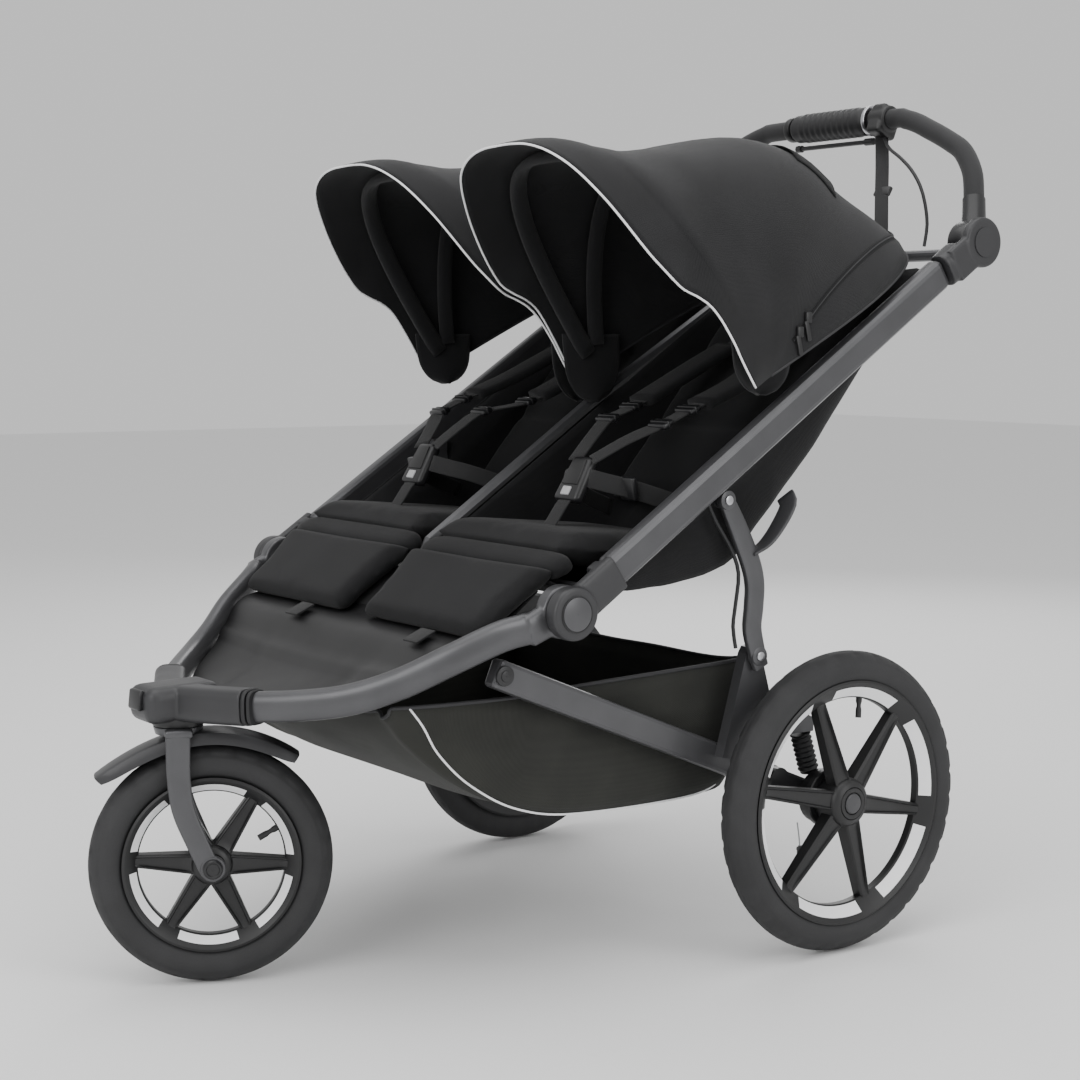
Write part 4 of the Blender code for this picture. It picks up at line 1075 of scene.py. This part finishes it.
def add_seats():
    for side, sign in SIDES:
        base = pillow(SEAT_WIDE - 0.006, 0.262, 0.036, tilt(-5), (sign * SEAT_MID, -0.2850, 0.5405),
                      grooves=((-0.86, 0.15),))
        puffed("seat_pad_" + side, *base, "seat_fabric", "upper_frame", ("seat_cushion_" + side,),
               0.005, 0.7)
        back = pillow(SEAT_WIDE - 0.012, 0.364, 0.032, tilt(50.4), (sign * SEAT_MID, -0.005, 0.721),
                      count=(22, 26), power=7.0, grooves=((-0.30, 0.35), (0.35, 0.3)))
        puffed("seat_back_pad_" + side, *back, "seat_fabric", "seat_back_" + side, ("backrest_" + side,),
               0.005, 0.7)
        path = [Vector((sign * (0.014 + 0.310 * i / 24), -0.4180, 0.5300)) for i in range(25)]
        shape = sweep(path, ring(0.042, 0.027, 20, 2.6), (0, math.cos(0.5), math.sin(0.5)),
                      lambda t: 1 - abs(2 * t - 1) ** 12 * 0.5)
        roll = piece("seat_front_roll_" + side, *shape, "seat_fabric", "upper_frame", sharp=False)
        add_seat_shell(side, sign)


LOW_EDGE = ((-0.432, 0.515), (-0.405, 0.502), (-0.340, 0.496), (-0.260, 0.498), (-0.200, 0.504),
            (-0.150, 0.520), (-0.118, 0.548), (-0.060, 0.606), (0.000, 0.668), (0.060, 0.738),
            (0.120, 0.818), (0.155, 0.868), (0.186, 0.903))
HOOK = ((0.3300, -0.070, 0.604), (0.3400, -0.074, 0.592), (0.3410, -0.092, 0.566), (0.3400, -0.112, 0.545),
        (0.3320, -0.128, 0.533))


def add_seat_shell(side, sign):
    """One cloth from the side tube down under the seat and up to the middle tube."""
    rows = []
    count = 46
    low = curve_through([(0, y, z) for y, z in LOW_EDGE], count)
    for i in range(count):
        t = i / (count - 1)
        bottom = low[i]
        run = -0.405 + 0.592 * t
        line = FOLD.z + (run - FOLD.y) * 0.671
        outer = Vector((0.3400, run, line - 0.012))
        inner = Vector((0.0110, run, line + 0.022))
        row = []
        for j in range(41):
            u = j / 40
            if u < 0.4:
                v = u / 0.4
                point = outer.lerp(Vector((0.3180, bottom.y, bottom.z)), v)
                point.x = 0.3420 - 0.0230 * min(1.0, v * 3.0) ** 0.8 - 0.012 * v ** 4
            elif u < 0.72:
                v = (u - 0.4) / 0.32
                point = Vector((0.3070 + (0.030 - 0.3070) * v, bottom.y, bottom.z))
                point.z -= 0.006 * math.sin(math.pi * v)
            else:
                v = (u - 0.72) / 0.28
                point = Vector((0.0145, bottom.y, bottom.z)).lerp(inner, v)
                point.x += 0.0155 * (1 - v) ** 4 + 0.004 * math.sin(math.pi * v)
            fold = noise.noise(Vector((point.y * 12 * sign, point.z * 12, point.x * 6)))
            fold += 0.5 * noise.noise(Vector((point.y * 34, point.z * 8, point.x * 9)))
            ease = math.sin(math.pi * u) ** 0.5
            point += Vector((0.4, 0, -0.4)) * fold * 0.0055 * ease
            row.append(Vector((sign * point.x, point.y, point.z)))
        rows.append(row)
    shell = piece("seat_shell_" + side, *loft(rows), "seat_fabric", None, wall=0.0022, sharp=False)
    on_back(shell)
    edge = [row[0] + Vector((sign * 0.001, 0, 0)) for row in rows]
    on_back(pipe("seat_shell_edge_" + side, edge, 0.0022, "seat_fabric", None, 60))
    path = curve_through(mirrored(sign, HOOK), 18)
    hook = sweep(path, ring(0.0260, 0.0050, 14, 4.0), (0.9, 0.3, 0.3))
    piece("seat_back_hook_" + side, *hook, "cap_grey", "upper_frame", sharp=False)


# Shoulder straps from the buckle to the seat back: across from the buckle, y and z.
SHOULDER_OUT = ((0.017, -0.290, 0.650), (0.045, -0.253, 0.677), (0.073, -0.222, 0.696),
                (0.076, -0.180, 0.714), (0.072, -0.100, 0.744), (0.064, -0.030, 0.778),
                (0.060, 0.030, 0.806))
SHOULDER_IN = ((0.017, -0.290, 0.650), (0.028, -0.253, 0.680), (0.038, -0.222, 0.700),
               (0.064, -0.162, 0.714), (0.068, -0.100, 0.742), (0.062, -0.030, 0.778),
               (0.058, 0.030, 0.806))
CROTCH = ((-0.350, 0.5590), (-0.338, 0.575), (-0.322, 0.596), (-0.310, 0.606))


def add_harness():
    up, face = Vector((0, 0.5, 0.866)), Vector((0, -0.866, 0.5))
    for side, sign in SIDES:
        mid = sign * 0.187
        middle = Vector((mid, -0.300, 0.624))
        shell = box((0.050, 0.064, 0.017), middle, tilt(60), 0.0065, 4, 0.80)
        piece("buckle_shell_" + side, *shell, "satin_plastic", "upper_frame", ("buckle_" + side,))
        ridge = box((0.034, 0.036, 0.0030), middle + up * 0.008 + face * 0.0088, tilt(60), 0.0014, 2, 0.8)
        piece("buckle_face_" + side, *ridge, "black_plastic", "upper_frame")
        cap = box((0.0165, 0.0125, 0.0046), middle - up * 0.0195 + face * 0.0086, tilt(60), 0.0016, 3)
        piece("buckle_press_" + side, *cap, "grey_plastic", "harness_release_" + side,
              ("buckle_button_" + side,))
        strap("crotch_strap_" + side, [(mid, y, z) for y, z in CROTCH], 0.026, (1, 0, 0), "upper_frame", 14)
        for word, k, reach, path in (("out", 1, 0.115, SHOULDER_OUT), ("in", -1, 0.110, SHOULDER_IN)):
            name = "%s_%s" % (word, side)
            waist = ((0.020, -0.298, 0.628), (0.048, -0.285, 0.622), (0.073, -0.262, 0.614),
                     (reach * 0.93, -0.205, 0.592), (reach, -0.160, 0.575))
            strap("waist_strap_" + name, [(mid + sign * k * x, y, z) for x, y, z in waist], 0.024,
                  (0.2 * k, 0.35, 0.9), "upper_frame", 18)
            points = [(mid + sign * k * x, y, z) for x, y, z in path]
            on_back(strap("shoulder_strap_" + name, points, 0.025, (1, 0.1, 0), None, 34))
            cover = sweep(curve_through(points[3:], 22)[2:19], ring(0.046, 0.015, 18, 3.4), (1, 0.1, 0))
            pad = piece("shoulder_pad_" + name, *cover, "seat_fabric", None, sharp=False)
            on_back(pad)
            for n in (1, 2):
                before, here, after = points[n:n + 3]
                spot = Vector(here) + Vector((0, 0, 0.001))
                lean = tilt(math.degrees(math.atan2(after[2] - before[2], after[1] - before[1])))
                slide = merged(box((0.034, 0.018, 0.0080), spot, lean, 0.0026, 3),
                               box((0.036, 0.004, 0.0110), spot, lean, 0.0016, 2))
                piece("adjuster_%d_%s" % (n, name), *slide, "satin_plastic", "upper_frame")
        slide = box((0.030, 0.009, 0.030), (mid + sign * 0.066, -0.268, 0.616), tilt(12), 0.0028, 3)
        piece("waist_adjuster_" + side, *slide, "satin_plastic", "upper_frame")


# ---- footrests and footwell ----
# The foot tray from the seats to the hub casing: share of the way and y, share and z, share and half width.
TRAY_Y = ((0, -0.492), (0.08, -0.506), (0.18, -0.530), (0.28, -0.552), (0.40, -0.580), (0.58, -0.613),
          (0.80, -0.655), (1.0, -0.690))
TRAY_Z = ((0, 0.4525), (0.08, 0.4445), (0.18, 0.4405), (0.28, 0.4320), (0.40, 0.4050), (0.58, 0.3830),
          (0.80, 0.3650), (1.0, 0.3500))
TRAY_HALF = ((0, 0.298), (0.18, 0.282), (0.28, 0.274), (0.40, 0.256), (0.58, 0.224), (0.80, 0.186),
             (1.0, 0.142))


def add_footrests():
    for side, sign in SIDES:
        pad = pillow(0.276, 0.130, 0.025, tilt(39.6), (sign * 0.1630, -0.4790, 0.4880), 1.17,
                     count=(30, 14), power=10.0, edge=0.42)
        cushion = puffed("calf_pad_" + side, *pad, "seat_fabric", "chassis", ("footrest_pad_" + side,),
                         0.003, 0.6)
        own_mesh(cushion)
        spot = (0.200 if sign > 0 else -0.100, -0.548, 0.4440)
        tab = box((0.032, 0.030, 0.0030), spot, tilt(24), 0.001, 2)
        piece("pad_tab_" + side, *tab, "webbing", "chassis")
    board = [[Vector((0.284 * (-1 + j / 10), -0.431 - 0.064 * i / 8, 0.5000 - 0.0500 * i / 8))
              for j in range(21)] for i in range(9)]
    piece("calf_board", *loft(board), "lining_fabric", "chassis", wall=0.003)
    rows = []
    for i in range(31):
        t = i / 30
        y, z, half = (value_at(table, t) for table in (TRAY_Y, TRAY_Z, TRAY_HALF))
        row = []
        for j in range(41):
            u = -1 + 2 * j / 40
            late = max(0.0, t - 0.30) / 0.70
            dip = -0.010 * (1 - u * u) * math.sin(math.pi * min(1, late * 1.1))
            ridge = 0.0050 * math.exp(-((t - 0.45) / 0.030) ** 2)
            rib = 0.0022 * math.exp(-((abs(u) - 0.5) / 0.06) ** 2) * min(1, 4 * late)
            row.append(Vector((half * u, y, z + dip + ridge - rib)))
        rows.append(row)
    piece("foot_tray", *loft(rows), "black_plastic", "chassis", ("footwell_panel",), wall=0.004)


# ---- basket ----
# Cross-sections of the bag from front to back: y, floor, rim and half width.
BASKET = ((-0.612, 0.352, 0.366, 0.236), (-0.590, 0.318, 0.367, 0.250), (-0.547, 0.276, 0.369, 0.268),
          (-0.475, 0.235, 0.371, 0.281), (-0.400, 0.213, 0.375, 0.288), (-0.300, 0.203, 0.379, 0.290),
          (-0.150, 0.206, 0.384, 0.288), (-0.112, 0.224, 0.386, 0.286), (-0.094, 0.272, 0.387, 0.284),
          (-0.072, 0.374, 0.388, 0.282))


BAG_WIDEST = 0.2845
BAG_CORNER = 0.60                   # where the floor turns up into the side, as a share of the half
# The piping over the bag's side: row and share of the half.
BAG_PIPING = ((4, 1.00), (6, 0.86), (8, 0.74), (11, 0.66), (15, 0.625), (20, 0.61), (26, 0.61), (32, 0.63))


def add_basket():
    rows = []
    count = 40
    for i in range(count + 1):
        k = i / count * (len(BASKET) - 1)
        y, bottom, top, half = (value_at(list(enumerate(row[m] for row in BASKET)), k) for m in range(4))
        half = min(half, BAG_WIDEST)
        row = []
        for j in range(49):
            t = -1 + 2 * j / 48
            side = abs(t) > BAG_CORNER
            if side:
                s = (abs(t) - BAG_CORNER) / (1 - BAG_CORNER)
                x = half - 0.020 * (1 - s) ** 2.2
                z = bottom + (top - bottom) * s ** 1.25
            else:
                s = abs(t) / BAG_CORNER
                x = (half - 0.020) * s
                z = bottom + 0.010 * s ** 6
            crease = noise.noise(Vector((x * 7 * math.copysign(1, t), y * 9, z * 8))) * 0.004
            z += crease * (1 - s if side else 0.6)
            row.append(Vector((math.copysign(x, t), y, z)))
        rows.append(row)
    bag = piece("cargo_bag", *loft(rows), "basket_fabric", "rear_chassis", ("basket",), 0.0018, False)
    rims = {"left": [row[48] for row in rows], "right": [row[0] for row in rows], "back": rows[-1],
            "front": rows[0]}
    for side, line in rims.items():
        pipe("bag_rim_" + side, line, 0.0026, "dark_piping", "rear_chassis", 60)
    for side, sign in SIDES:
        line = [rows[i][round((sign * t + 1) / 2 * 48)] + Vector((sign * 0.0012, 0, -0.0008))
                for i, t in BAG_PIPING]
        pipe("bag_piping_" + side, line, 0.0014, "piping", "rear_chassis", 60)


add_camera()
add_studio()
add_frame()
add_wheels()
add_fork()
add_mudguard()
add_hub()
add_handlebar()
add_canopies()
add_seats()
add_harness()
add_footrests()
add_basket()
